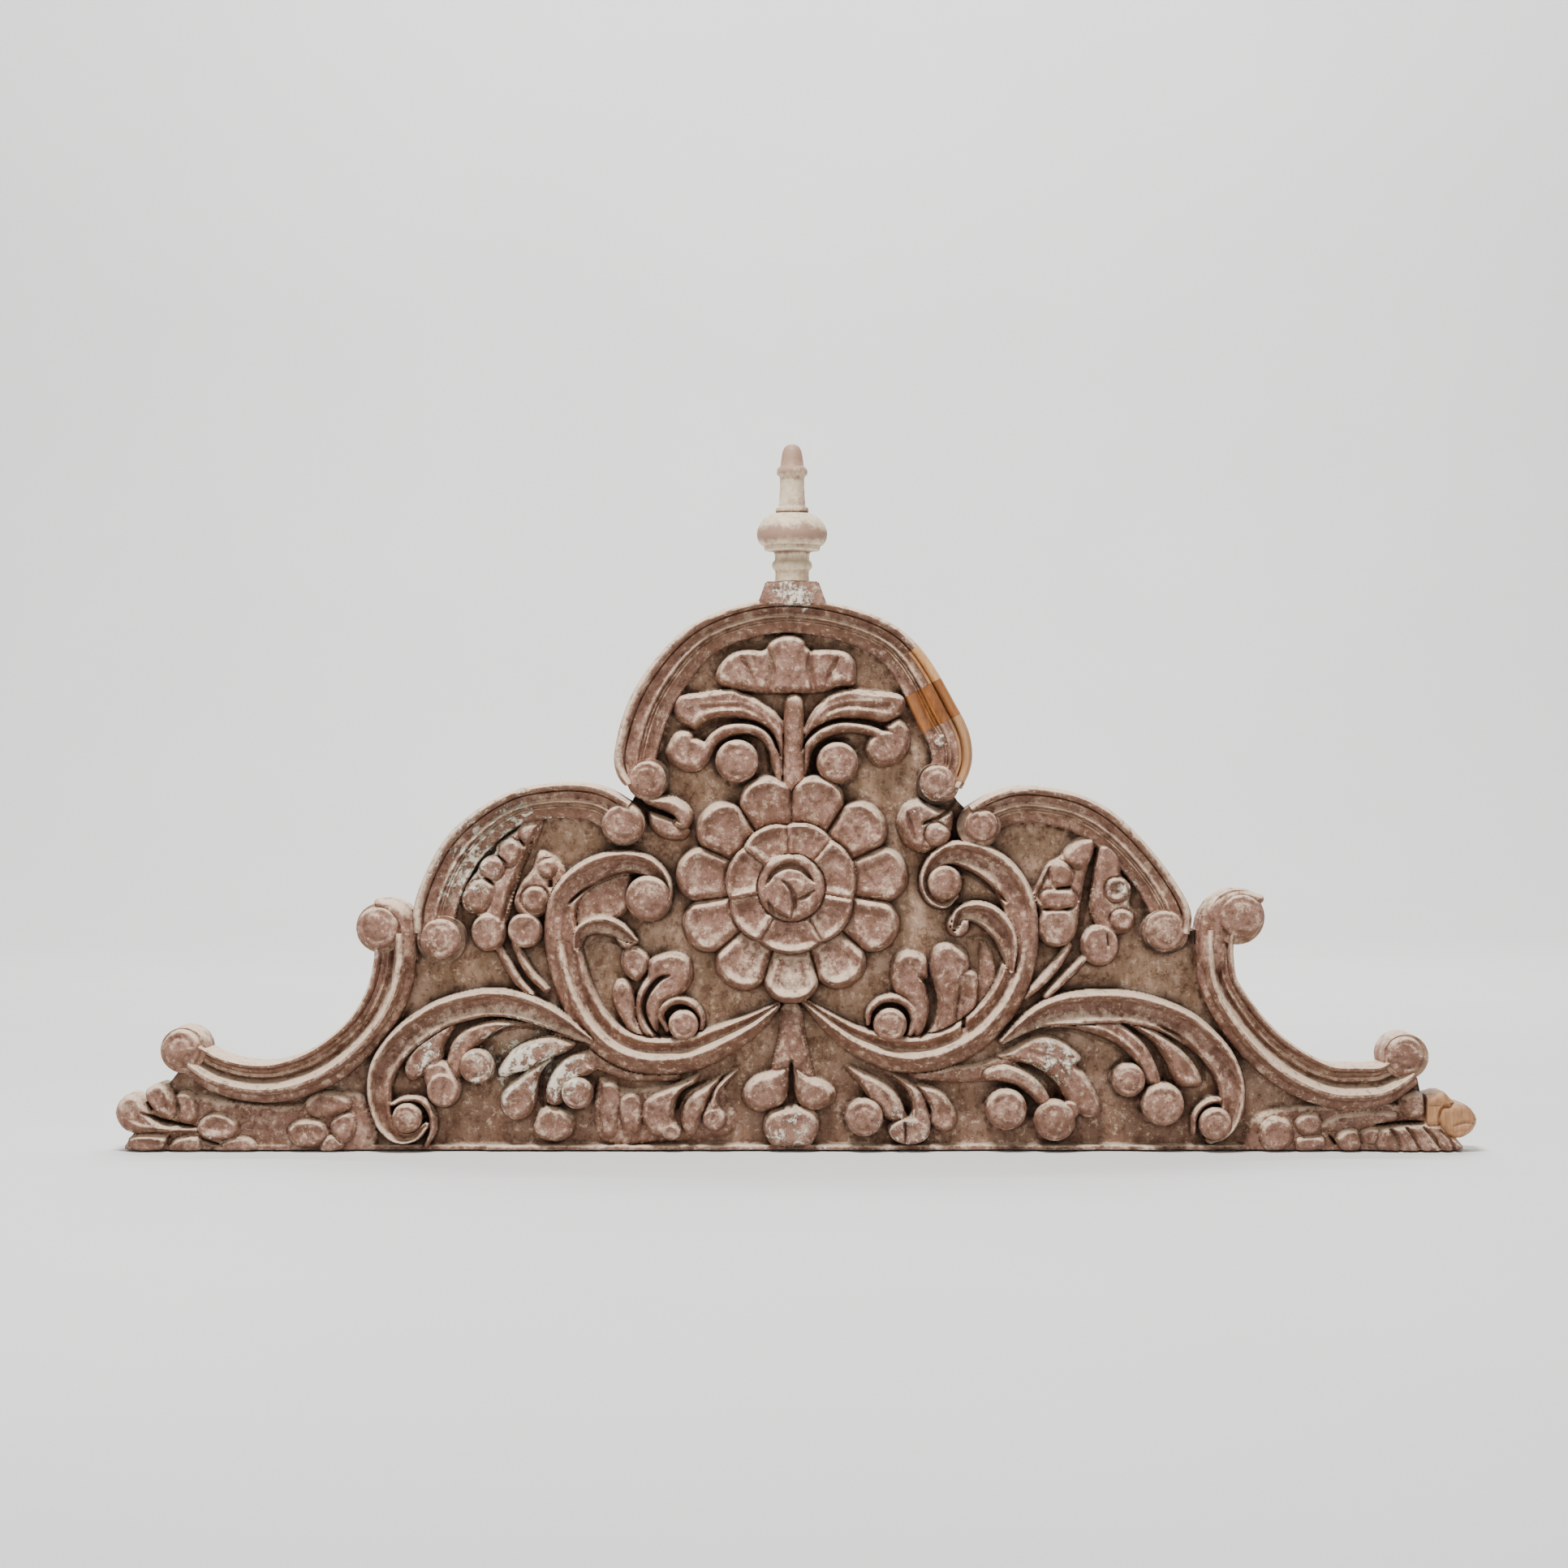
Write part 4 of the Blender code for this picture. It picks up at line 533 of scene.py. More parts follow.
# Knife cuts between leaves: depth in millimetres, points with widths
cuts = (
    (15, ((853, 911, 5), (864, 900, 7), (882, 892, 7), (904, 889, 7), (926, 890, 7), (942, 897, 7),
        (953, 910, 6), (961, 932, 4))),
    (15, ((988, 926, 4), (995, 909, 6), (1012, 895, 7), (1034, 888, 7), (1056, 889, 7), (1078, 893, 7),
        (1098, 902, 5))),
    (11, ((904, 908, 4), (922, 905, 5), (938, 912, 5), (946, 926, 5), (948, 950, 3))),
    (11, ((1046, 911, 4), (1028, 912, 5), (1010, 920, 5), (1003, 932, 5), (1002, 952, 3))),
    (16, ((824, 1202, 5), (812, 1207, 8), (800, 1220, 9), (793, 1236, 9), (794, 1252, 8), (802, 1268, 6),
        (814, 1282, 3))),
    (17, ((1134, 1203, 7), (1143, 1213, 9), (1149, 1228, 8), (1150, 1246, 8), (1145, 1264, 6),
        (1134, 1280, 3))),
    (14, ((1189, 1254, 6), (1187, 1268, 8))), (14, ((688, 1275, 4), (656, 1267, 8), (624, 1268, 8),
        (600, 1280, 4))),
    (15, ((690, 1302, 4), (674, 1314, 6), (665, 1332, 7), (664, 1350, 7), (668, 1368, 4))),
    (15, ((870, 1334, 4), (850, 1342, 7), (838, 1354, 8), (833, 1370, 5))),
    (18, ((975, 1308, 5), (975, 1330, 9), (975, 1352, 9), (975, 1368, 6))),
    (15, ((1092, 1328, 4), (1106, 1340, 7), (1114, 1354, 8), (1118, 1374, 5))),
    (15, ((1250, 1310, 4), (1272, 1317, 8), (1290, 1330, 9), (1302, 1348, 8), (1306, 1362, 4))),
    (15, ((1292, 1272, 4), (1320, 1271, 7), (1350, 1279, 8), (1374, 1289, 7), (1390, 1303, 5))),
    (14, ((1382, 1260, 4), (1400, 1272, 7), (1418, 1286, 8), (1430, 1304, 7), (1436, 1322, 6),
        (1438, 1340, 4))),
    (13, ((1428, 1264, 4), (1452, 1277, 7), (1472, 1296, 8), (1484, 1314, 7), (1488, 1334, 4))),
    (13, ((174, 1372, 4), (190, 1380, 6), (208, 1385, 6), (238, 1390, 3))),
    (12, ((1696, 1388, 4), (1730, 1385, 6), (1757, 1384, 4))),
    (7, ((1714, 1391, 4), (1722, 1404, 7), (1728, 1420, 5))), (7, ((1733, 1389, 4), (1744, 1403, 7),
        (1752, 1420, 5))),
    (7, ((1754, 1389, 4), (1768, 1403, 7), (1778, 1420, 5))), (6, ((1775, 1393, 3), (1787, 1405, 6),
        (1795, 1420, 4))),
    (12, ((722, 1168, 4), (733, 1160, 6), (746, 1158, 7), (760, 1163, 6), (768, 1170, 3))),
    (14, ((700, 1114, 4), (714, 1101, 6), (728, 1092, 6), (748, 1082, 7), (772, 1076, 7), (796, 1080, 4))),
    (14, ((1178, 1074, 4), (1196, 1077, 7), (1214, 1088, 7), (1232, 1103, 6), (1240, 1112, 3))),
    (12, ((1196, 1156, 4), (1212, 1154, 6), (1226, 1162, 7), (1236, 1178, 6), (1240, 1196, 3))),
    (12, ((787, 986, 3), (800, 997, 5), (814, 1002, 5), (828, 1006, 5), (838, 1014, 3))),
    (12, ((1136, 1016, 3), (1146, 1011, 6), (1158, 1007, 6), (1170, 998, 5), (1177, 989, 3))),
    (6, ((1118, 1000, 4), (1122, 1018, 8), (1128, 1038, 5))),
    (9, ((659, 1022, 4), (650, 1047, 7), (640, 1070, 8), (630, 1094, 8), (622, 1118, 6), (618, 1140, 4))),
    (13, ((1354, 1042, 5), (1347, 1070, 9), (1340, 1100, 12), (1336, 1124, 11), (1334, 1142, 5))),
    (8, ((639, 1034, 3), (646, 1044, 4))), (8, ((612, 1054, 3), (624, 1064, 4))), (8, ((596, 1082, 3),
        (608, 1090, 4))),
    (8, ((1302, 1096, 3), (1322, 1093, 4))), (8, ((1284, 1121, 4), (1306, 1122, 4), (1322, 1119, 3))),
    (10, ((678, 1084, 5), (678, 1094, 7))), (7, ((946, 798, 6), (952, 822, 11), (950, 852, 9))),
    (7, ((1000, 796, 6), (998, 822, 11), (1003, 850, 9))), (4, ((912, 808, 5), (922, 826, 9),
        (930, 850, 8))),
    (4, ((1034, 808, 5), (1024, 828, 9), (1018, 848, 8))), (9, ((206, 1401, 3), (203, 1412, 5),
        (196, 1420, 4))),
    (8, ((1115, 1382, 3), (1116, 1396, 5), (1116, 1410, 4))), (6, ((1364, 1150, 3), (1366, 1168, 4))),
    (8, ((1640, 1400, 4), (1648, 1410, 5), (1656, 1420, 4))), (9, ((243, 1404, 3), (258, 1410, 6),
        (272, 1414, 4))),
)
shell = dict(
    outline=((888, 844), (881, 833), (884, 822), (890, 813), (902, 803), (920, 799), (940, 800), (948, 790),
             (957, 784), (968, 781), (980, 782), (990, 787), (998, 799), (1020, 799), (1040, 801),
             (1050, 808), (1055, 820), (1054, 840), (1047, 845), (1032, 846), (1020, 851), (1000, 853),
             (935, 853), (915, 851), (900, 848)),
    ridges=(((900, 812, 8), (908, 832, 14), (914, 848, 12)),
            ((930, 804, 8), (938, 826, 13), (940, 850, 12)),
            ((972, 786, 14), (974, 816, 26), (976, 848, 22)),
            ((1012, 802, 8), (1010, 824, 12), (1010, 848, 11)),
            ((1044, 812, 8), (1038, 828, 12), (1030, 844, 12))),
)
rosette = dict(
    centre=(975, 1094), petals=11, first=270, outer=144, dip=22, edge=11, top=26, crease=.22, dish=.15,
    dishFrom=9, dishWide=10, lean=.20, leanFrom=118, leanWide=35,
    ringOuter=82, ringInner=42, ringTop=31.0, ringDip=5, ringEdge=6, ringFloor=12,
    divides=(-121, -61, -11, 50, 94, 140, 191), bud=43, budTop=34.0, budFloor=18,
    folds=((970, 1070, 31, 18, 8, 34.5, .10), (957, 1102, 17, 27, 20, 33.5, .12),
           (994, 1104, 17, 26, -18, 34, .12), (977, 1118, 22, 15, 0, 33, .10),
           (978, 1092, 17, 13, -10, 36, .06)),
    furrows=((11, ((944, 1090, 3), (953, 1075, 9), (970, 1066, 11), (988, 1071, 9), (1003, 1087, 3))),
             (9, ((964, 1084, 3), (976, 1098, 8), (979, 1118, 8), (974, 1134, 3))),
             (7, ((1004, 1096, 3), (993, 1104, 7), (982, 1108, 3))),
             (10, ((946, 1110, 3), (955, 1124, 9), (972, 1131, 5)))),
)

# Flat buttons that end every roll: x, y, radius, share of the full height
rollEnds = (
    (798, 960, 24, 1), (1155, 965, 24, 1), (768, 1015, 27, 1), (543, 1157, 27, 1), (1209, 1017, 22, 1),
    (1435, 1147, 27, 1), (466, 1143, 28, 1), (225, 1292, 26, 1), (1529, 1129, 30, 1), (1730, 1301, 26, 1),
)
buttons = (
    (1161, 911, 12, .78), (908, 938, 27, 1), (1032, 940, 26, 1), (799, 1107, 29, 1), (1164, 1088, 22, 1),
    (842, 1263, 19, 1), (1097, 1263, 21, 1), (501, 1378, 19, 1), (1498, 1385, 21, 1), (587, 1314, 22, .96),
    (711, 1347, 20, 1), (1391, 1331, 21, 1), (1433, 1361, 27, 1), (1065, 1377, 24, 1), (1240, 1367, 26, 1),
    (1300, 1381, 26, .96),
)


def smoothRing(points):
    # a closed curve through the points
    knots = upwards(points)
    a, b, c, d = (np.roll(knots, k, axis=0)[:, None] for k in (1, 0, -1, -2))
    t = np.linspace(0, 1, 8, endpoint=False)[None, :, None]
    return catmull(a, b, c, d, t).reshape(-1, 2)


def raiseLeaf(field, share, edge, dish, points):
    # a rounded edge of that width all round, and a shallow hollow inside it
    ring = smoothRing(points)
    (left, bottom), (right, high) = ring.min(axis=0) - 2, ring.max(axis=0) + 2
    rows, cols = slice(*np.searchsorted(ups, (bottom, high))), slice(*np.searchsorted(xs, (left, right)))
    inside = insideOf(ring, rows, cols)
    i, j = np.nonzero(inside)
    far = np.hypot(xs[cols][j][:, None] - ring[:, 0], ups[rows][i][:, None] - ring[:, 1]).min(axis=1)
    rim = np.clip(far / edge, 0, 1)
    made = np.sqrt(1 - (1 - rim) ** 2) * (1 - dish * np.clip((far - edge * .7) / edge, 0, 1))
    part = field[rows, cols]
    before = part[i, j]
    made = groundHigh + board["leaf"] * share * made
    # over another leaf the edge sinks only part of the way, so that the two stay joined
    part[i, j] = np.where(before > groundHigh + 5, np.maximum(made, before * .80 + groundHigh * .20), made)


def layRidge(field, height, points):
    rows, cols, share, far = alongBand(points)
    fade = np.clip(6 * far * (1 - far) + .2, 0, 1)
    field[rows, cols] += height * readProfile(stripProfiles["ridge"], share) * fade


def scrollHeights(points, first, last, change):
    # share of the relief over one scroll, whose section goes from one profile to the other
    rows, cols, share, far = alongBand(points)
    mixed = np.clip((far - change[0]) / (change[1] - change[0]), 0, 1)
    starts, ends = (readProfile(scrollProfiles[name], share) for name in (first, last))
    return rows, cols, starts * (1 - mixed) + ends * mixed


def carveRosette(field):
    # petals in a fan that meet in creases, then a ring of short leaves, then the bud
    x, y = rosette["centre"]
    rows, cols = patch(x, drawing["base"] - y, rosette["outer"] + 4)
    dx, dy = xs[cols][None, :] - x, ups[rows][:, None] - (drawing["base"] - y)
    r, angle = np.hypot(dx, dy), np.degrees(np.arctan2(dy, dx))
    width = 360 / rosette["petals"]
    turn = (angle - rosette["first"] + width / 2) / width
    which = np.floor(turn).astype(int) % rosette["petals"]
    off = (turn - np.floor(turn) - .5) * 2
    uneven = rng.uniform(-1, 1, (3, rosette["petals"]))[:, which]
    outer = rosette["outer"] + 2.0 * uneven[0] - rosette["dip"] * np.abs(off) ** 2.6
    side = (1 - np.abs(off)) * np.radians(width / 2) * np.maximum(r, 40)
    rim = np.clip(np.minimum(side, (outer - r) * .9) / rosette["edge"], 0, 1)
    fall = np.clip((outer - r) / rosette["edge"], 0, 1)
    body = rosette["crease"] + (1 - rosette["crease"]) * np.sqrt(1 - (1 - rim) ** 2)
    body *= np.sqrt(1 - (1 - fall) ** 2)
    inwards = (np.minimum(side, outer - r) - rosette["dishFrom"]) / rosette["dishWide"]
    body *= 1 - rosette["dish"] * np.clip(inwards, 0, 1)
    lean = 1 + .04 * uneven[1] + rosette["lean"] * (r - rosette["leanFrom"]) / rosette["leanWide"]
    lean += .05 * uneven[2] * off
    made = groundHigh + rosette["top"] * body * lean
    part = field[rows, cols]
    part[:] = np.where((outer > r) & (fall > .3), made, np.where(outer > r, np.maximum(part, made), part))
    # ring: each leaf climbs over the next one
    cutsAt = np.sort(np.array(rosette["divides"]) % 360)
    turned = (angle - cutsAt[0]) % 360
    starts = np.append((cutsAt - cutsAt[0]) % 360, 360)
    index = np.searchsorted(starts, turned, side="right") - 1
    index = np.clip(index, 0, len(cutsAt) - 1)
    low, high = starts[index], starts[index + 1]
    share = (turned - low) / (high - low)
    side = np.radians(np.minimum(turned - low, high - turned)) * r
    bulge = rosette["ringOuter"] - rosette["ringDip"] * np.abs(2 * share - 1) ** 2.4
    rim = np.clip(np.minimum(side * .9 + 1, bulge - r) / rosette["ringEdge"], 0, 1)
    body = (.56 + .44 * np.sqrt(1 - (1 - rim) ** 2)) * (.86 + .14 * share)
    body *= 1 - .20 * np.clip((np.minimum(side, bulge - r) - 4) / 8, 0, 1)
    body *= np.sqrt(1 - (1 - np.clip((bulge - r) / 3, 0, 1)) ** 2) * .3 + .7
    ring = (r < bulge) & (r > rosette["ringInner"] - 4)
    part[ring] = (groundHigh + rosette["ringTop"] * body)[ring]
    gap = (r >= bulge) & (r < bulge + 5)
    part[gap] = np.minimum(part[gap], groundHigh + rosette["ringFloor"] + 1.6 * (r - bulge)[gap])
    # bud: a low dome whose leaves are folded over one another
    s = np.clip(r / rosette["bud"], 0, 1)
    dome = (.80 + .20 * np.sqrt(1 - s ** 2)) * np.sqrt(1 - np.clip((s - .86) / .14, 0, 1) ** 2)
    dome = groundHigh + rosette["budTop"] * dome
    inBud = r < rosette["bud"]
    part[inBud] = np.maximum(dome, groundHigh + rosette["budFloor"])[inBud]
    field[rows, cols] = part
    for x, y, halfWidth, halfHeight, turn, top, dish in rosette["folds"]:
        raiseForm(field, x, y, halfWidth, halfHeight, turn, groundHigh + top, dish=dish, over=True, lip=.62,
                  low=groundHigh + rosette["budFloor"])
    for depth, points in rosette["furrows"]:
        cutBand(field, points, depth)


def carveShell(field):
    raiseLeaf(field, .98, 9, .10, shell["outline"])
    for points in shell["ridges"]:
        layRidge(field, 2.4, points)


# the plain ledge that runs along the foot
ledge = dict(left=166, right=1757, high=6, top=34, uneven=2.5)


def carveField():
    field = np.full(gridX.shape, groundHigh) + 0.35 * softNoise(26, .6) + 0.18 * softNoise(9, 2.2)
    for share, edge, dish, points in leaves:
        raiseLeaf(field, share, edge, dish, points)
    for points in curls:
        raiseBand(field, points, stripProfiles["plump"], board["leaf"] * .93)
    raiseBand(field, centreStem, stripProfiles["plump"], board["leaf"] * .96, over=True)
    for x, y, halfWidth, halfHeight, turn, share, dish in lobes:
        top = groundHigh + board["leaf"] * share
        raiseForm(field, x, y, halfWidth, halfHeight, turn, top, dish=dish, over=True)
    for scroll in scrolls:
        rows, cols, height = scrollHeights(*scroll)
        sunk = field[rows, cols] * .2 + groundHigh * .8
        field[rows, cols] = np.maximum(sunk, groundHigh + board["scroll"] * height)
    for height, points in ridges:
        layRidge(field, height, points)
    carveShell(field)
    for points in earCurls:
        raiseBand(field, points, stripProfiles["plump"], board["moulding"] * .84, over=True)
    for depth, points in cuts:
        cutBand(field, points, depth)
    carveRosette(field)
    foot = (gridUp < ledge["high"]) & (gridX > ledge["left"]) & (gridX < ledge["right"])
    field[foot] = np.maximum(field[foot], ledge["top"] + ledge["uneven"] * softNoise(30)[foot])
    carved = field > groundHigh + 3
    field += carved * (0.5 * softNoise(16) + 0.35 * softNoise(6)) + (1 - carved) * .30 * softNoise(7)
    return blur(field, relief["step"] * .5) * .35 + field * .65


field = carveField()
full = field.copy()
for name, points in mouldings.items():
    raiseBand(full, points, profileOf[name], board["moulding"])
for x, y, radius, share in rollEnds + buttons:
    raiseForm(full, x, y, radius, radius, 0, groundHigh + board["disc"] * share)
inBoard = insideOf(boardOutline)
beyondBoard = ~(inBoard | (full > groundHigh + 4))
# what the materials read: how hollow or how proud each place is, near and wide, by a blur of so many squares;
# hollows take painted shade and crests a painted highlight
blurs = dict(wide=8, near=2.4, proud=3.2, crest=9)
wideHollow = np.clip((blur(np.where(beyondBoard, groundHigh, full), blurs["wide"]) - full - 2) / 16, 0, 1)
level = np.where(beyondBoard, groundHigh + 8, full)
nearHollow = np.clip((blur(level, blurs["near"]) - level - .5) / 5, 0, 1)
nearHollow *= np.clip(1.25 - (full - groundHigh) / 22, .30, 1)
wideHollow[beyondBoard], nearHollow[beyondBoard] = 0, 0
crest = np.clip((level - blur(level, blurs["crest"]) - 1.5) / 9, 0, 1) * .6
# the tops of the scroll rolls take the strongest painted highlight
for scroll in scrolls:
    rows, cols, height = scrollHeights(*scroll)
    crest[rows, cols] = np.maximum(height ** 5 * 1.8, crest[rows, cols])
proud = np.clip((level - blur(level, blurs["proud"])) / 3.2, 0, 1)
bare = np.clip(1 - (full - groundHigh - 1) / 3, 0, 1)
print("carving drawn")


def readMap(values, x, z):
    u = np.clip((x / square + drawing["centre"] - xs[0]) / relief["step"], 0, len(xs) - 1.001)
    v = np.clip(z / square / relief["step"], 0, len(ups) - 1.001)
    i, j = u.astype(int), v.astype(int)
    s, t = u - i, v - j
    return ((values[j, i] * (1 - s) + values[j, i + 1] * s) * (1 - t)
            + (values[j + 1, i] * (1 - s) + values[j + 1, i + 1] * s) * t)


def placesOf(mesh):
    places = np.empty(len(mesh.vertices) * 3, np.float32)
    mesh.vertices.foreach_get("co", places)
    return places.reshape(-1, 3)


def storeValues(mesh, name, values):
    layer = mesh.attributes.get(name) or mesh.attributes.new(name, "FLOAT", "POINT")
    layer.data.foreach_set("value", np.asarray(values, np.float32))


def newObject(name, mesh, material=None):
    made = bpy.data.objects.new(name, mesh)
    bpy.context.scene.collection.objects.link(made)
    if material is not None:
        mesh.materials.clear()
        mesh.materials.append(material)
    return made


def keepResult(made):
    # the evaluated mesh becomes the object's own, and its modifiers go
    result = bpy.data.meshes.new_from_object(made.evaluated_get(bpy.context.evaluated_depsgraph_get()))
    old, made.data = made.data, result
    made.modifiers.clear()
    bpy.data.meshes.remove(old)
    result.name = made.name
    return made


def gridMesh(name, keep, heights):
    # quads between the kept grid points, over the relief map
    cells = keep[:-1, :-1] & keep[1:, :-1] & keep[:-1, 1:] & keep[1:, 1:]
    used = np.zeros(keep.shape, bool)
    for down, across in ((0, 0), (0, 1), (1, 0), (1, 1)):
        used[down:used.shape[0] - 1 + down, across:used.shape[1] - 1 + across] |= cells
    number = np.full(keep.shape, -1, np.int32)
    number[used] = np.arange(used.sum())
    rows, cols = np.nonzero(used)
    verts = np.column_stack((toX(xs[cols]), board["back"] - heights[rows, cols] / 1000, toZ(ups[rows])))
    verts = verts.astype(np.float32)
    rows, cols = np.nonzero(cells)
    corners = ((0, 0), (0, 1), (1, 1), (1, 0))
    quads = np.column_stack([number[rows + down, cols + across] for down, across in corners])
    mesh = bpy.data.meshes.new(name)
    mesh.vertices.add(len(verts))
    mesh.vertices.foreach_set("co", verts.ravel())
    mesh.loops.add(quads.size)
    mesh.loops.foreach_set("vertex_index", quads.ravel().astype(np.int32))
    mesh.polygons.add(len(quads))
    mesh.polygons.foreach_set("loop_start", np.arange(0, quads.size, 4, dtype=np.int32))
    mesh.update(calc_edges=True)
    return mesh


def closeToBack(mesh):
    # walls from the rim of the front down to the flat back, after the rim's steps are smoothed
    body = bmesh.new()
    body.from_mesh(mesh)
    rim = [edge for edge in body.edges if edge.is_boundary]
    ring = {}
    for edge in rim:
        for vert in edge.verts:
            ring.setdefault(vert, []).append(edge.other_vert(vert))
    footHigh = square * 1.5
    for _ in range(relief["rimPasses"]):
        moved = {vert: [(vert.co[k] * 2 + sum(o.co[k] for o in near)) / (2 + len(near)) for k in (0, 2)]
                 for vert, near in ring.items()}
        for vert, (x, z) in moved.items():
            if vert.co.z > footHigh:
                vert.co.x, vert.co.z = x, z
    for vert in ring:
        if vert.co.z < footHigh:
            vert.co.z = 0.0
    made = bmesh.ops.extrude_edge_only(body, edges=rim)
    for item in made["geom"]:
        if isinstance(item, bmesh.types.BMVert):
            item.co.y = board["back"]
    bmesh.ops.holes_fill(body, edges=[edge for edge in body.edges if edge.is_boundary])
    bmesh.ops.recalc_face_normals(body, faces=body.faces)
    body.to_mesh(mesh)
    body.free()


def shadeSoft(mesh, degrees):
    # smooth faces with creases kept sharp, without a modifier
    mesh.shade_smooth()
    mesh.set_sharp_from_angle(angle=math.radians(degrees))


def dressPanelMesh(mesh):
    places = placesOf(mesh)
    front = places[:, 1] < board["back"] - 0.004
    hollow = np.maximum(wideHollow, nearHollow * .8)
    for name, values in dict(hollow=hollow, proud=proud, bare=bare, crest=crest).items():
        storeValues(mesh, name, np.where(front, readMap(values, places[:, 0], places[:, 2]), 0))


class Value:
    # a socket that takes part in sums
    def __init__(self, sheet, socket):
        self.sheet, self.socket = sheet, socket

    def math(self, operation, other, turned=False, clamp=False):
        pair = (other, self) if turned else (self, other)
        settings = dict(operation=operation, use_clamp=clamp)
        return self.sheet.node("ShaderNodeMath", settings, dict(enumerate(pair)))

    def __add__(self, other):
        return self.math("ADD", other)

    def __radd__(self, other):
        return self.math("ADD", other)

    def __sub__(self, other):
        return self.math("SUBTRACT", other)

    def __rsub__(self, other):
        return self.math("SUBTRACT", other, True)

    def __mul__(self, other):
        return self.math("MULTIPLY", other)

    def __rmul__(self, other):
        return self.math("MULTIPLY", other)

    def __truediv__(self, other):
        return self.math("DIVIDE", other)

    def held(self):
        return self.math("ADD", 0.0, clamp=True)

    def ramp(self, low, high):
        # 0 at low, 1 at high, straight between
        sockets = {"Value": self, "From Min": low, "From Max": high, "To Min": 0.0, "To Max": 1.0}
        return self.sheet.node("ShaderNodeMapRange", dict(clamp=True), sockets)


class Finish:
    # one material and the nodes in it
    def __init__(self, name):
        self.material = bpy.data.materials.new(name)
        self.material.use_nodes = True
        self.tree = self.material.node_tree
        self.shader = self.tree.nodes["Principled BSDF"]
        self.place = self.node("ShaderNodeTexCoord", {}, {}, "Object")

    def put(self, socket, value):
        if isinstance(value, Value):
            self.tree.links.new(value.socket, socket)
        elif value is not None:
            isColour = isinstance(value, tuple) and len(socket.default_value) == 4
            socket.default_value = (*value, 1.0) if isColour else value

    def node(self, kind, settings, sockets, output=0):
        made = self.tree.nodes.new(kind)
        for key, value in settings.items():
            setattr(made, key, value)
        for key, value in sockets.items():
            self.put(made.inputs[key], value)
        return Value(self, made.outputs[output])

    def stretched(self, scale, turn=(0.0, 0.0, 0.0), shift=(0.0, 0.0, 0.0)):
        return self.node("ShaderNodeMapping", {}, {"Vector": self.place, "Scale": scale, "Rotation": turn,
                                                   "Location": shift})

    def noise(self, size, detail=4.0, rough=0.55, place=None, bend=0.0, shift=(0.0, 0.0, 0.0)):
        if place is None:
            place = self.stretched((1.0, 1.0, 1.0), shift=shift) if any(shift) else self.place
        return self.node("ShaderNodeTexNoise", {}, {"Vector": place, "Scale": 1.0 / size, "Detail": detail,
                                                    "Roughness": rough, "Distortion": bend})

    def attribute(self, name):
        return self.node("ShaderNodeAttribute", dict(attribute_name=name), {}, "Fac")

    def facing(self, axis):
        # how far the surface faces along +X, +Y or +Z
        normal = self.node("ShaderNodeNewGeometry", {}, {}, "Normal")
        return self.node("ShaderNodeSeparateXYZ", {}, {"Vector": normal}, axis)

    def mix(self, share, first, second, kind="MIX"):
        made = self.tree.nodes.new("ShaderNodeMix")
        made.data_type, made.blend_type, made.clamp_factor = "RGBA", kind, True
        for key, value in ((0, share), (6, first), (7, second)):
            self.put(made.inputs[key], value)
        return Value(self, made.outputs[2])

    def bump(self, height, distance, strength):
        return self.node("ShaderNodeBump", {}, {"Height": height, "Distance": distance, "Strength": strength})

    def finish(self, colour, roughness, normal, **constants):
        self.put(self.shader.inputs["Base Color"], colour)
        self.put(self.shader.inputs["Roughness"], roughness)
        self.put(self.shader.inputs["Normal"], normal)
        for name, value in constants.items():
            self.put(self.shader.inputs[name.replace("_", " ")], value)
        return self.material


# sRGB from 0 to 255, as read, to the shader's own scale
def tint(red, green, blue):
    return tuple((c / 255) ** 2.2 for c in (red, green, blue))


paint = dict(
    mauve=tint(134, 98, 84), rose=tint(152, 112, 96), brown=tint(104, 70, 50), beige=tint(246, 216, 186),
    cream=tint(252, 242, 220), ground=tint(180, 146, 120), olive=tint(142, 112, 84), shadowBlack=tint(26, 15, 9),
    grimeAndShade=tint(74, 48, 33),
)


def around(surface, x, y, radius):
    # 1 at a place of the drawing, 0 a radius away
    ringed = surface.node("ShaderNodeVectorMath", dict(operation="DISTANCE"),
                          {0: surface.node("ShaderNodeVectorMath", dict(operation="MULTIPLY"),
                                           {0: surface.place, 1: (1.0, 0.0, 1.0)}),
                           1: (toX(x), 0.0, toZ(drawing["base"] - y))}, "Value")
    return 1 - (ringed / (radius * square)).held()


# where old cream paint is left: x, y, radius, how much
chipPlaces = (
    (588, 1044, 62, 1.2), (640, 1004, 50, 1), (562, 1096, 52, 1), (976, 730, 48, 1.3), (1158, 915, 50, .7),
    (640, 1310, 90, 1.3), (525, 1300, 50, 1), (700, 1330, 40, 1), (975, 1395, 60, 1), (1380, 1095, 36, 1),
    (1300, 1310, 70, 1), (1120, 1390, 60, .8), (1140, 1000, 50, .8),
)
# sizes in metres of the noise that breaks up the paint
wear = dict(broad=0.11, patchy=0.030, blotch=0.016, chips=0.0085, flecks=0.0075, small=0.006, fine=0.0016)


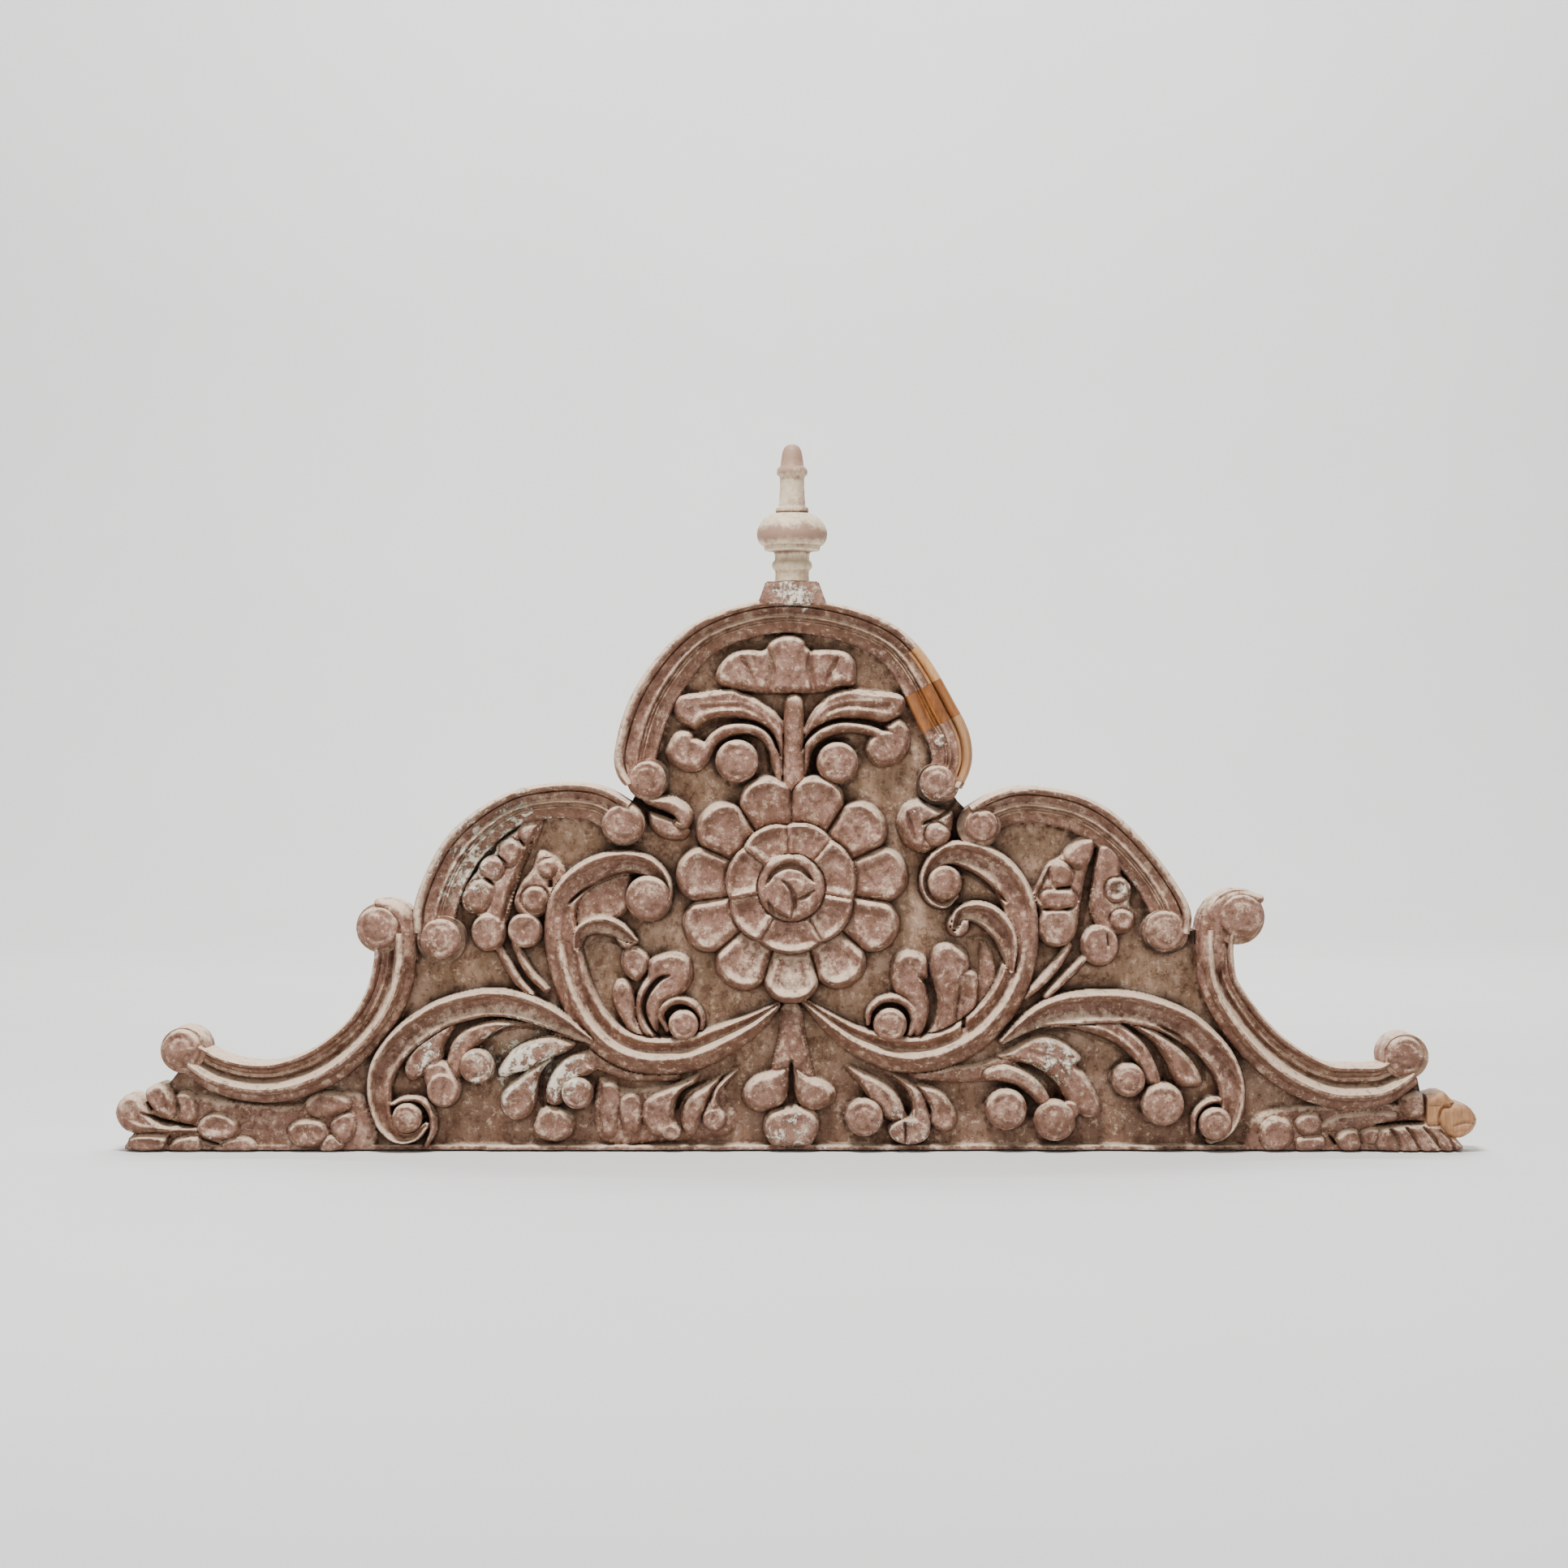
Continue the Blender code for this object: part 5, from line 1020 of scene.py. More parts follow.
def wornPaint(name):
    surface = Finish(name)
    stored = ("hollow", "proud", "bare", "crest")
    hollow, proudness, bareness, crested = (surface.attribute(name) for name in stored)
    broad = surface.noise(wear["broad"], 3.0)
    patchy = surface.noise(wear["patchy"], 5.0, 0.6, shift=(3.1, 0.0, 1.7))
    small = surface.noise(wear["small"], 5.0, 0.65, shift=(7.3, 0.0, 4.1))
    fine = surface.noise(wear["fine"], 3.0, 0.7, shift=(1.3, 0.0, 9.1))
    streaks = surface.noise(1.0, 5.0, 0.65, place=surface.stretched((150.0, 60.0, 48.0)), bend=.6)
    # paint over carved wood: mauve to rose, brown where it is thin
    colour = surface.mix(broad.ramp(.38, .64), paint["mauve"], paint["rose"])
    colour = surface.mix(patchy.ramp(.48, .72) * .60, colour, paint["brown"])
    colour = surface.mix(small.ramp(.46, .72) * .45, colour, tint(180, 140, 118))
    # blotches of a centimetre or so where the paint is thin or dusty
    blotch = surface.noise(wear["blotch"], 6.0, 0.72, shift=(4.4, 0.0, 8.8))
    colour = surface.mix(blotch.ramp(.52, .60) * .55, colour, paint["brown"])
    colour = surface.mix((1 - blotch).ramp(.53, .63) * .32, colour, paint["beige"])
    # the ground between the leaves: tan and olive, in upright streaks
    groundTint = surface.mix(streaks.ramp(.35, .68), paint["olive"], paint["ground"])
    groundTint = surface.mix(patchy.ramp(.46, .64) * .80, groundTint, tint(204, 170, 146))
    groundTint = surface.mix(blotch.ramp(.53, .59) * .60, groundTint, paint["brown"])
    # darker and redder towards the foot
    height = surface.node("ShaderNodeSeparateXYZ", {}, {"Vector": surface.place}, 2)
    groundTint = surface.mix((1 - height.ramp(.03, .12)) * .62, groundTint, tint(112, 78, 62))
    colour = surface.mix((bareness * (broad * .5 + .62)).held(), colour, groundTint)
    # painted light from above: what faces up, and the crests, lighten to beige, partly dust and rubbing; what
    # faces down darkens to brown as painted shade; both broken up by the noise
    upFacing = surface.facing(2)
    dusty = around(surface, 975, 1205, 105) * .5 + around(surface, 640, 1300, 150) * .2
    rubAndHighlight = (upFacing * 1.45 + crested * .42 + proudness * .08 + dusty + (small - .5) * 1.7
           + (blotch - .5) * -1.6).ramp(.40, 1.15)
    colour = surface.mix(rubAndHighlight * .88, colour, paint["beige"])
    shaded = (0 - upFacing + (small - .5) * .8).ramp(.10, .70)
    colour = surface.mix(shaded * .60, colour, paint["brown"])
    # crazing and wear: pale flecks and brown pits of a few millimetres
    flecks = surface.noise(wear["flecks"], 7.0, 0.74, shift=(8.2, 0.0, 6.1))
    colour = surface.mix(flecks.ramp(.555, .63) * .50, colour, paint["beige"])
    colour = surface.mix((1 - flecks).ramp(.545, .62) * .62, colour, paint["grimeAndShade"])
    # most chips are on the left shoulder and the lower left leaves
    zones = sum(around(surface, x, y, radius) * weight for x, y, radius, weight in chipPlaces)
    zones = (zones * .40).held()
    chips = surface.noise(wear["chips"], 6.0, 0.72, shift=(5.2, 0.0, 2.2)) + zones * .5 + proudness * .06
    chips = chips.ramp(.69, .75)
    colour = surface.mix(chips * .85, colour, paint["cream"])
    # painted shade: brown grime and shade round the forms, then a near-black painted shadow in the narrow
    # hollows
    hollowShade = (hollow * 1.25 + (small - .5) * .4).ramp(.10, 1.0)
    colour = surface.mix(hollowShade.ramp(0, .5) * .55, colour, paint["grimeAndShade"])
    colour = surface.mix(hollowShade.ramp(.35, 1.0) * .85, colour, paint["shadowBlack"])
    colour = surface.mix(fine.ramp(.60, .80) * .35, colour, paint["grimeAndShade"], "MULTIPLY")
    # the back was never painted: bare old boards with a level grain
    grain = surface.noise(1.0, 5.0, 0.65, place=surface.stretched((9.0, 90.0, 170.0)), bend=.3)
    boards = surface.mix(grain.ramp(.34, .68), tint(92, 64, 44), tint(138, 104, 74))
    colour = surface.mix(surface.facing(1).ramp(.80, .95), colour, boards)
    rough = (.62 + (small - .5) * .30 + hollowShade * .2 - rubAndHighlight * .10).held()
    height = small * .7 + flecks * .9 + blotch * .9 + fine * .3 + chips * .55 + streaks * .25
    return surface.finish(colour, rough, surface.bump(height, 0.0019, .9), Specular_IOR_Level=.35)


panelPaint = wornPaint("wornMauvePaint")

covered = inBoard | (field > groundHigh + 4)
carving = newObject("carvedField", gridMesh("carvedField", covered, field), panelPaint)
thin = carving.modifiers.new("fewerFaces", "DECIMATE")
thin.ratio = relief["triangles"] / (2 * len(carving.data.polygons))
keepResult(carving)
closeToBack(carving.data)
dressPanelMesh(carving.data)
shadeSoft(carving.data, 50)
print("carved field", len(carving.data.polygons), "faces")


# Mouldings swept along their lines, with the unevenness of hand work
sweep = dict(gap=3.0, waver=0.5, thickWaver=0.014, highest=54.2, seed=11)
waver = np.random.default_rng(sweep["seed"])


def addSweep(body, line, profile, high, low=0.6, across=(0.0, 1.0), even=False):
    way, side = normalsOf(line)
    shares = [t for t, _ in profile if across[0] < t < across[1]]
    shares = np.array([across[0], *shares, across[1]])
    tops = groundHigh + high * readProfile(profile, shares)
    count = len(line)
    swing, thick = (np.interp(np.arange(count), np.linspace(0, count, knots), waver.normal(0, 1, knots))
                    for knots in (9 + count // 8, 5 + count // 14))
    rings = []
    for k in range(count):
        offset = (0.5 - shares) * line[k, 2] * (1 if even else 1 + thick[k] * sweep["thickWaver"])
        x, z = toX(line[k, 0] + side[k, 0] * offset), toZ(line[k, 1] + side[k, 1] * offset)
        up = tops + (0 if even else swing[k] * sweep["waver"] * .6)
        up = np.append(np.minimum(up, sweep["highest"]), (low, low))
        x, z = (np.append(values, values[[-1, 0]]) for values in (x, z))
        ring = [body.verts.new((a, board["back"] - h / 1000, b)) for a, b, h in zip(x, z, up)]
        rings.append(ring)
    size = len(rings[0])
    for one, two in zip(rings, rings[1:]):
        for k in range(size):
            body.faces.new((one[k], one[(k + 1) % size], two[(k + 1) % size], two[k]))
    body.faces.new(rings[0][::-1])
    body.faces.new(rings[-1])


def finishBody(body, name, material, degrees=40):
    bmesh.ops.recalc_face_normals(body, faces=body.faces)
    mesh = bpy.data.meshes.new(name)
    body.to_mesh(mesh)
    body.free()
    made = newObject(name, mesh, material)
    shadeSoft(mesh, degrees)
    return made


repair = dict(footLeft=0.015, lower=0.107, block=0.078, upper=0.070, strip=0.34, floor=16.0, joint=0.0004)
archLine = smoothLine(mouldings["arch"], sweep["gap"])
lowerSpan = (1 - repair["footLeft"] - repair["lower"], 1 - repair["footLeft"])
blockSpan = (lowerSpan[0] - repair["block"], lowerSpan[0])
upperSpan = (blockSpan[0] - repair["upper"], blockSpan[0])

body = bmesh.new()
for name in ("leftEar", "leftShoulder", "rightShoulder", "rightEar"):
    addSweep(body, smoothLine(mouldings[name], sweep["gap"]), profileOf[name], board["moulding"])
gap = repair["joint"] / 2
addSweep(body, stretchOf(archLine, 0, upperSpan[0] - gap), archProfile, board["moulding"])
for span in (upperSpan, lowerSpan):
    addSweep(body, stretchOf(archLine, span[0] + gap, span[1] - gap), archProfile, board["moulding"],
             across=(repair["strip"] + .01, 1))
addSweep(body, stretchOf(archLine, lowerSpan[1] + gap, 1), archProfile, board["moulding"])
# the old wood goes on behind the repairs
flat = ((0, 0), (1, 0))
addSweep(body, stretchOf(archLine, upperSpan[0] - gap, lowerSpan[1] + gap), flat, 0, even=True, low=0.4)
for vert in body.verts:
    vert.co.z = max(vert.co.z, 0.0)
frameMoulding = finishBody(body, "frameMoulding", panelPaint)
print("mouldings", len(frameMoulding.data.polygons), "faces")


def dressMoulding(mesh):
    dressPanelMesh(mesh)
    places = placesOf(mesh)
    inner = readMap(wideHollow, places[:, 0], places[:, 2])
    near = readMap(nearHollow, places[:, 0], places[:, 2])
    raised = places[:, 1] < board["back"] - 0.03
    storeValues(mesh, "hollow", np.clip(inner * .9 + near * .8, 0, 1) * raised)
    # the rolls' tops are pale: dust, and a painted highlight on the tops
    standing = (board["back"] - places[:, 1]) * 1000 - groundHigh
    storeValues(mesh, "crest", np.clip(standing / board["moulding"], 0, 1) ** 5 * 2.0)


dressMoulding(frameMoulding.data)

# Flat buttons: one turned form with a spiral rim, set at each place by Geometry Nodes
button = dict(spokes=44, groove=0.64, grooveWide=0.13, grooveDeep=0.034, lip=0.72, uneven=0.012)


def buttonForm():
    # a unit button lying in X-Z, its front towards -Y and its height 1; radius 1
    body = bmesh.new()
    radii = np.array((.10, .22, .34, .46, .53, .58, .63, .70, .78, .85, .91, .96, 1.0))
    rings = []
    for r in radii:
        ring = []
        for k in range(button["spokes"]):
            a = 2 * math.pi * k / button["spokes"]
            trail = button["groove"] + .13 * (a / math.pi - 1)
            groove = math.exp(-((r - trail) / button["grooveWide"]) ** 2) * button["grooveDeep"]
            edge = math.sqrt(max(0.0, 1 - (max(0.0, r - button["lip"]) / (1 - button["lip"])) ** 2))
            dent = button["uneven"] * (math.sin(2 * a + 5 * r) + .7 * math.sin(5 * a - 7 * r))
            h = min(1.0, .99 - .03 * r * r - groove + dent * r) * (.60 + .40 * edge)
            ring.append(body.verts.new((r * math.cos(a), -h, r * math.sin(a))))
        rings.append(ring)
    foot = [body.verts.new((v.co.x, 0.0, v.co.z)) for v in rings[-1]]
    rings.append(foot)
    top = body.verts.new((0, -1.0, 0))
    count = button["spokes"]
    for k in range(count):
        body.faces.new((top, rings[0][(k + 1) % count], rings[0][k]))
        for one, two in zip(rings, rings[1:]):
            body.faces.new((one[k], one[(k + 1) % count], two[(k + 1) % count], two[k]))
    body.faces.new(foot)
    bmesh.ops.recalc_face_normals(body, faces=body.faces)
    mesh = bpy.data.meshes.new("buttonForm")
    body.to_mesh(mesh)
    body.free()
    return mesh


def buttonTree(form, material):
    # instances of the form on the points, scaled and turned by the points' own values
    tree = bpy.data.node_groups.new("setButtons", "GeometryNodeTree")
    tree.interface.new_socket("Geometry", in_out="INPUT", socket_type="NodeSocketGeometry")
    sizeSocket = tree.interface.new_socket("Size", in_out="INPUT", socket_type="NodeSocketFloat")
    tree.interface.new_socket("Geometry", in_out="OUTPUT", socket_type="NodeSocketGeometry")

    def node(kind, settings=(), **sockets):
        made = tree.nodes.new(kind)
        for key, value in dict(settings).items():
            setattr(made, key, value)
        for key, value in sockets.items():
            socket = made.inputs[key.replace("_", " ")]
            if isinstance(value, bpy.types.NodeSocket):
                tree.links.new(value, socket)
            else:
                socket.default_value = value
        return made

    given = node("NodeGroupInput")
    source = node("GeometryNodeObjectInfo", Object=form, As_Instance=True)
    scale = node("GeometryNodeInputNamedAttribute", dict(data_type="FLOAT_VECTOR"), Name="spread")
    turn = node("GeometryNodeInputNamedAttribute", dict(data_type="FLOAT_VECTOR"), Name="turn")
    sized = node("ShaderNodeVectorMath", dict(operation="SCALE"), Scale=given.outputs["Size"])
    tree.links.new(scale.outputs["Attribute"], sized.inputs[0])
    rotation = node("FunctionNodeEulerToRotation")
    tree.links.new(turn.outputs["Attribute"], rotation.inputs[0])
    placed = node("GeometryNodeInstanceOnPoints", Points=given.outputs["Geometry"],
                  Instance=source.outputs["Geometry"], Rotation=rotation.outputs[0], Scale=sized.outputs[0])
    real = node("GeometryNodeRealizeInstances", Geometry=placed.outputs["Instances"])
    coloured = node("GeometryNodeSetMaterial", Geometry=real.outputs["Geometry"], Material=material)
    result = node("NodeGroupOutput")
    tree.links.new(coloured.outputs["Geometry"], result.inputs[0])
    return tree, sizeSocket.identifier


def setButtons(name, places, high, foot):
    mesh = bpy.data.meshes.new(name)
    spots = [(toX(x), board["back"] - foot / 1000, toZ(drawing["base"] - y)) for x, y, _, _ in places]
    mesh.from_pydata(spots, [], [])
    spread = mesh.attributes.new("spread", "FLOAT_VECTOR", "POINT")
    turn = mesh.attributes.new("turn", "FLOAT_VECTOR", "POINT")
    for k, (x, y, radius, share) in enumerate(places):
        tall = (groundHigh + high * share - foot) / 1000
        spread.data[k].vector = (radius * square, tall, radius * square)
        turn.data[k].vector = (0.0, waver.uniform(0, 2 * math.pi), 0.0)
    made = newObject(name, mesh)
    form = newObject("buttonForm", buttonForm())
    tree, size = buttonTree(form, panelPaint)
    placing = made.modifiers.new("setButtons", "NODES")
    placing.node_group = tree
    placing[size] = 1.0
    keepResult(made)
    made.data.materials.clear()
    made.data.materials.append(panelPaint)
    bpy.data.objects.remove(form, do_unlink=True)
    return made


ends = setButtons("rollEnds", rollEnds, board["disc"], 0.8)
small = setButtons("leafButtons", buttons, board["disc"] * .94, 12.0)
for made in (ends, small):
    places = placesOf(made.data)
    shadeSoft(made.data, 60)
    dressPanelMesh(made.data)
    storeValues(made.data, "crest", np.zeros(len(places)))
print("buttons set", len(ends.data.polygons) + len(small.data.polygons), "faces")

# Rims that wrap round the roll ends, and the flared block under the finial
rims = (
    (798, 960, 27), (1156, 966, 27), (768, 1015, 28), (544, 1158, 31), (1206, 1018, 28), (1436, 1148, 29),
    (470, 1143, 32), (226, 1294, 29), (1524, 1130, 35), (1732, 1302, 29),
)
pedestal = dict(x=976, top=717, width=0.050, flare=0.008, high=0.022, depth=0.040)
finial = dict(high=0.1314, ball=0.0337, clear=0.0008, steps=112, gap=0.0003)
body = bmesh.new()
for x, y, radius in rims:
    centre = Vector((toX(x), board["back"] - 0.0007, toZ(drawing["base"] - y)))
    tall = (groundHigh + board["moulding"] * .70) / 1000
    lying = Matrix.Translation(centre - Vector((0, tall / 2, 0))) @ Matrix.Rotation(math.radians(90), 4, "X")
    bmesh.ops.create_cone(body, cap_ends=True, segments=64, radius1=radius * square,
                          radius2=(radius - 1.2) * square, depth=tall, matrix=lying)
axisY = board["back"] - finial["ball"] - finial["clear"]
top = toZ(drawing["base"] - pedestal["top"])
standing = Matrix.Translation((toX(pedestal["x"]), axisY, top - pedestal["high"] / 2))
seat = bmesh.ops.create_cube(body, size=1.0, matrix=standing
                             @ Matrix.Diagonal((pedestal["width"], pedestal["depth"], pedestal["high"], 1)))
for vert in seat["verts"]:
    if vert.co.z < top - 0.001:
        vert.co.x += math.copysign(pedestal["flare"], vert.co.x - toX(pedestal["x"]))
edges = list({edge for vert in seat["verts"] for edge in vert.link_edges})
bmesh.ops.bevel(body, geom=edges, offset=0.0012, segments=2, affect="EDGES")
rimsAndSeat = finishBody(body, "rimsAndSeat", panelPaint)
dressPanelMesh(rimsAndSeat.data)

# Turned finial: share of the height from the top, share of the ball's radius
turnedLine = (
    (0, .10), (.010, .17), (.022, .22), (.05, .27), (.10, .305), (.155, .33), (.165, .36), (.170, .40),
    (.185, .435), (.205, .44), (.222, .42), (.230, .37), (.245, .345), (.30, .345), (.38, .36), (.445, .38),
    (.455, .41), (.460, .45), (.475, .47), (.492, .46), (.500, .45), (.503, .55), (.510, .63), (.54, .79),
    (.57, .89), (.60, .955), (.63, .99), (.653, 1), (.68, .985), (.71, .94), (.732, .87), (.737, .80),
    (.745, .79), (.765, .79), (.772, .76), (.776, .55), (.785, .51), (.81, .485), (.84, .49), (.850, .53),
    (.862, .56), (.88, .57), (.898, .56), (.908, .52), (.92, .48), (.95, .475), (.992, .485), (1.0, .470),
    (1.0, 0),
)


def creamPaint():
    surface = Finish("wornCreamPaint")
    hollow, proudness = surface.attribute("hollow"), surface.attribute("proud")
    broad = surface.noise(0.024, 4.0, 0.6)
    small = surface.noise(0.0045, 5.0, 0.65, shift=(2.0, 1.0, 0.0))
    runs = surface.noise(1.0, 4.0, 0.6, place=surface.stretched((190.0, 190.0, 40.0)))
    colour = surface.mix(small.ramp(.40, .68), tint(228, 208, 176), tint(205, 182, 152))
    # the tip and the ball's middle are worn down to the mauve under the cream
    height = surface.node("ShaderNodeSeparateXYZ", {}, {"Vector": surface.place}, 2)
    tipHigh = top + finial["high"]
    worn = (height.ramp(tipHigh - .040, tipHigh - .004) * .34
            + (1 - ((height - (tipHigh - .655 * finial["high"])) / .010).math("ABSOLUTE", 0.0).held()) * .26)
    mauve = (broad * .7 + small * .35 + hollow * .4 + worn).ramp(.56, .72)
    colour = surface.mix(mauve * .82, colour, paint["rose"])
    colour = surface.mix(proudness.ramp(.3, .9) * .5, colour, tint(240, 226, 200))
    colour = surface.mix((runs.ramp(.58, .74) * .45), colour, tint(150, 118, 96))
    # painted shade: the grooves of the turning darken towards near-black
    hollowShade = (hollow * 1.2 + (small - .5) * .6).ramp(.25, 1.0)
    colour = surface.mix(hollowShade * .85, colour, paint["shadowBlack"])
    return surface.finish(colour, (.5 + (small - .5) * .4 + hollowShade * .2).held(),
                          surface.bump(small * .6 + runs * .3, 0.0009, .7), Specular_IOR_Level=.4)


def makeFinial():
    outline = [(r * finial["ball"], -t * finial["high"]) for t, r in turnedLine]
    outline = [(0.0, 0.0)] + outline
    mesh = bpy.data.meshes.new("turnedFinial")
    mesh.from_pydata([(x, 0, z) for x, z in outline], [(k, k + 1) for k in range(len(outline) - 1)], [])
    made = newObject("turnedFinial", mesh)
    screw = made.modifiers.new("turned", "SCREW")
    screw.steps = screw.render_steps = finial["steps"]
    screw.use_merge_vertices, screw.merge_threshold = True, 0.00001
    keepResult(made)
    body = bmesh.new()
    body.from_mesh(made.data)
    bmesh.ops.remove_doubles(body, verts=body.verts, dist=0.000005)
    body.transform(Matrix.Translation((toX(pedestal["x"]), axisY, top + finial["gap"] + finial["high"])))
    bmesh.ops.recalc_face_normals(body, faces=body.faces)
    body.to_mesh(made.data)
    body.free()
    # hollow and proud along the turned line, from how far each ring stands from its neighbours
    t = np.array([k / 400 for k in range(401)])
    r = np.interp(t, [a for a, _ in turnedLine], [b for _, b in turnedLine])
    soft = np.convolve(np.pad(r, 12, mode="edge"), np.ones(25) / 25, mode="valid")
    places = placesOf(made.data)
    share = np.clip((top + finial["gap"] + finial["high"] - places[:, 2]) / finial["high"], 0, 1)
    storeValues(made.data, "hollow", np.clip(np.interp(share, t, soft - r) * 7, 0, 1))
    storeValues(made.data, "proud", np.clip(np.interp(share, t, r - soft) * 7, 0, 1))
    made.data.materials.clear()
    made.data.materials.append(creamPaint())
    shadeSoft(made.data, 45)
    return made


turnedFinial = makeFinial()
print("finial turned")


def newWood(name, light, dark, line, degrees):
    surface = Finish(name)
    turn = math.radians(degrees)
    along = surface.stretched((260.0, 260.0, 28.0), turn=(0.0, turn, 0.0))
    grain = surface.noise(1.0, 5.0, 0.6, place=along, bend=.4)
    finer = surface.stretched((1500.0, 1500.0, 130.0), turn=(0.0, turn, 0.0))
    pores = surface.noise(1.0, 3.0, 0.7, place=finer)
    stain = surface.noise(0.013, 3.0, 0.6)
    colour = surface.mix(grain.ramp(.34, .70), light, dark)
    colour = surface.mix(pores.ramp(.58, .74) * .55, colour, line)
    colour = surface.mix(stain.ramp(.50, .78) * .35, colour, line)
    edge = surface.attribute("proud")
    colour = surface.mix(edge.ramp(.35, .95) * .4, colour, light)
    # painted shade in the hollows
    colour = surface.mix(surface.attribute("hollow").ramp(.25, 1.0) * .7, colour, paint["shadowBlack"])
    bumps = surface.bump(grain * .6 + pores * .4, 0.0005, .6)
    return surface.finish(colour, (.46 + (pores - .5) * .3).held(), bumps, Specular_IOR_Level=.4)


lightWood = newWood("newSoftwood", tint(222, 168, 114), tint(188, 128, 78), tint(128, 80, 48), -20)
darkWood = newWood("newBrownWood", tint(168, 108, 62), tint(118, 72, 40), tint(70, 40, 24), -30)
tanWood = newWood("newTanWood", tint(190, 142, 100), tint(148, 102, 70), tint(90, 60, 40), 85)


def makeInsert(name, span, across, wood):
    body = bmesh.new()
    line = stretchOf(smoothLine(mouldings["arch"], 1.5), span[0] + gap, span[1] - gap)
    addSweep(body, line, archProfile, board["moulding"], low=repair["floor"], across=across, even=True)
    made = finishBody(body, name, wood)
    dressPanelMesh(made.data)
    return made


upperStrip = makeInsert("upperStrip", upperSpan, (0.0, repair["strip"]), lightWood)
blockPiece = makeInsert("repairBlock", blockSpan, (0.0, 1.0), darkWood)
lowerStrip = makeInsert("lowerStrip", lowerSpan, (0.0, repair["strip"]), tanWood)


def makeLeafTip():
    # a notched double lobe of new wood, flat where it is glued on
    heights = np.full(gridX.shape, groundHigh)
    for share, edge, dish, points in tipLeaves:
        raiseLeaf(heights, share, edge, dish, points)
    for depth, points in tipCuts:
        cutBand(heights, points, depth)
    keep = (heights > groundHigh + 2) & (gridX > 1759)
    made = newObject("leafTip", gridMesh("leafTip", keep, heights), tanWood)
    closeToBack(made.data)
    places = placesOf(made.data)
    places[:, 0] = np.maximum(places[:, 0], toX(1758) + .0004)
    made.data.vertices.foreach_set("co", places.ravel())
    dressPanelMesh(made.data)
    shadeSoft(made.data, 50)
    return made


tipLeaves = (
    (.95, 10, .10, ((1750, 1354), (1764, 1348), (1780, 1345), (1790, 1354), (1800, 1365), (1800, 1380),
                    (1782, 1388), (1750, 1388))),
    (.97, 10, .08, ((1780, 1362), (1804, 1360), (1817, 1369), (1823, 1382), (1816, 1396), (1802, 1404),
                    (1788, 1402), (1776, 1391), (1772, 1376))),
)
tipCuts = (
    (1.6, ((1790, 1388, 4), (1804, 1384, 6), (1818, 1384, 4))),
    (1.2, ((1790, 1396, 4), (1804, 1394, 6), (1814, 1394, 4))),
    (1.5, ((1762, 1362, 4), (1780, 1362, 7), (1794, 1370, 5))),
)
leafTip = makeLeafTip()
print("repairs made")

# every piece with the node that it stands for and its slot, kept inside the box of the CAD
panelPieces = (carving, frameMoulding, ends, small, rimsAndSeat)
pieces = ([(piece, "carved_panel", "worn_paint") for piece in panelPieces]
          + [(turnedFinial, "finial", "cream_paint"), (upperStrip, "arch_upper_strip", "new_wood"),
             (blockPiece, "arch_block", "dark_new_wood"), (lowerStrip, "arch_lower_strip", "new_wood"),
             (leafTip, "leaf_tip", "new_wood")])
for piece, node, slotName in pieces:
    places = np.clip(placesOf(piece.data), np.array(cadLow, np.float32), np.array(cadHigh, np.float32))
    piece.data.vertices.foreach_set("co", places.ravel())
    piece.data.update()
    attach(piece, "root")
    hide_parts(node)

# Pale floor that turns up into a backdrop
studio = dict(floor=-0.002, wide=30.0, front=-14.0, back=5.6, turn=1.6, high=9.0)


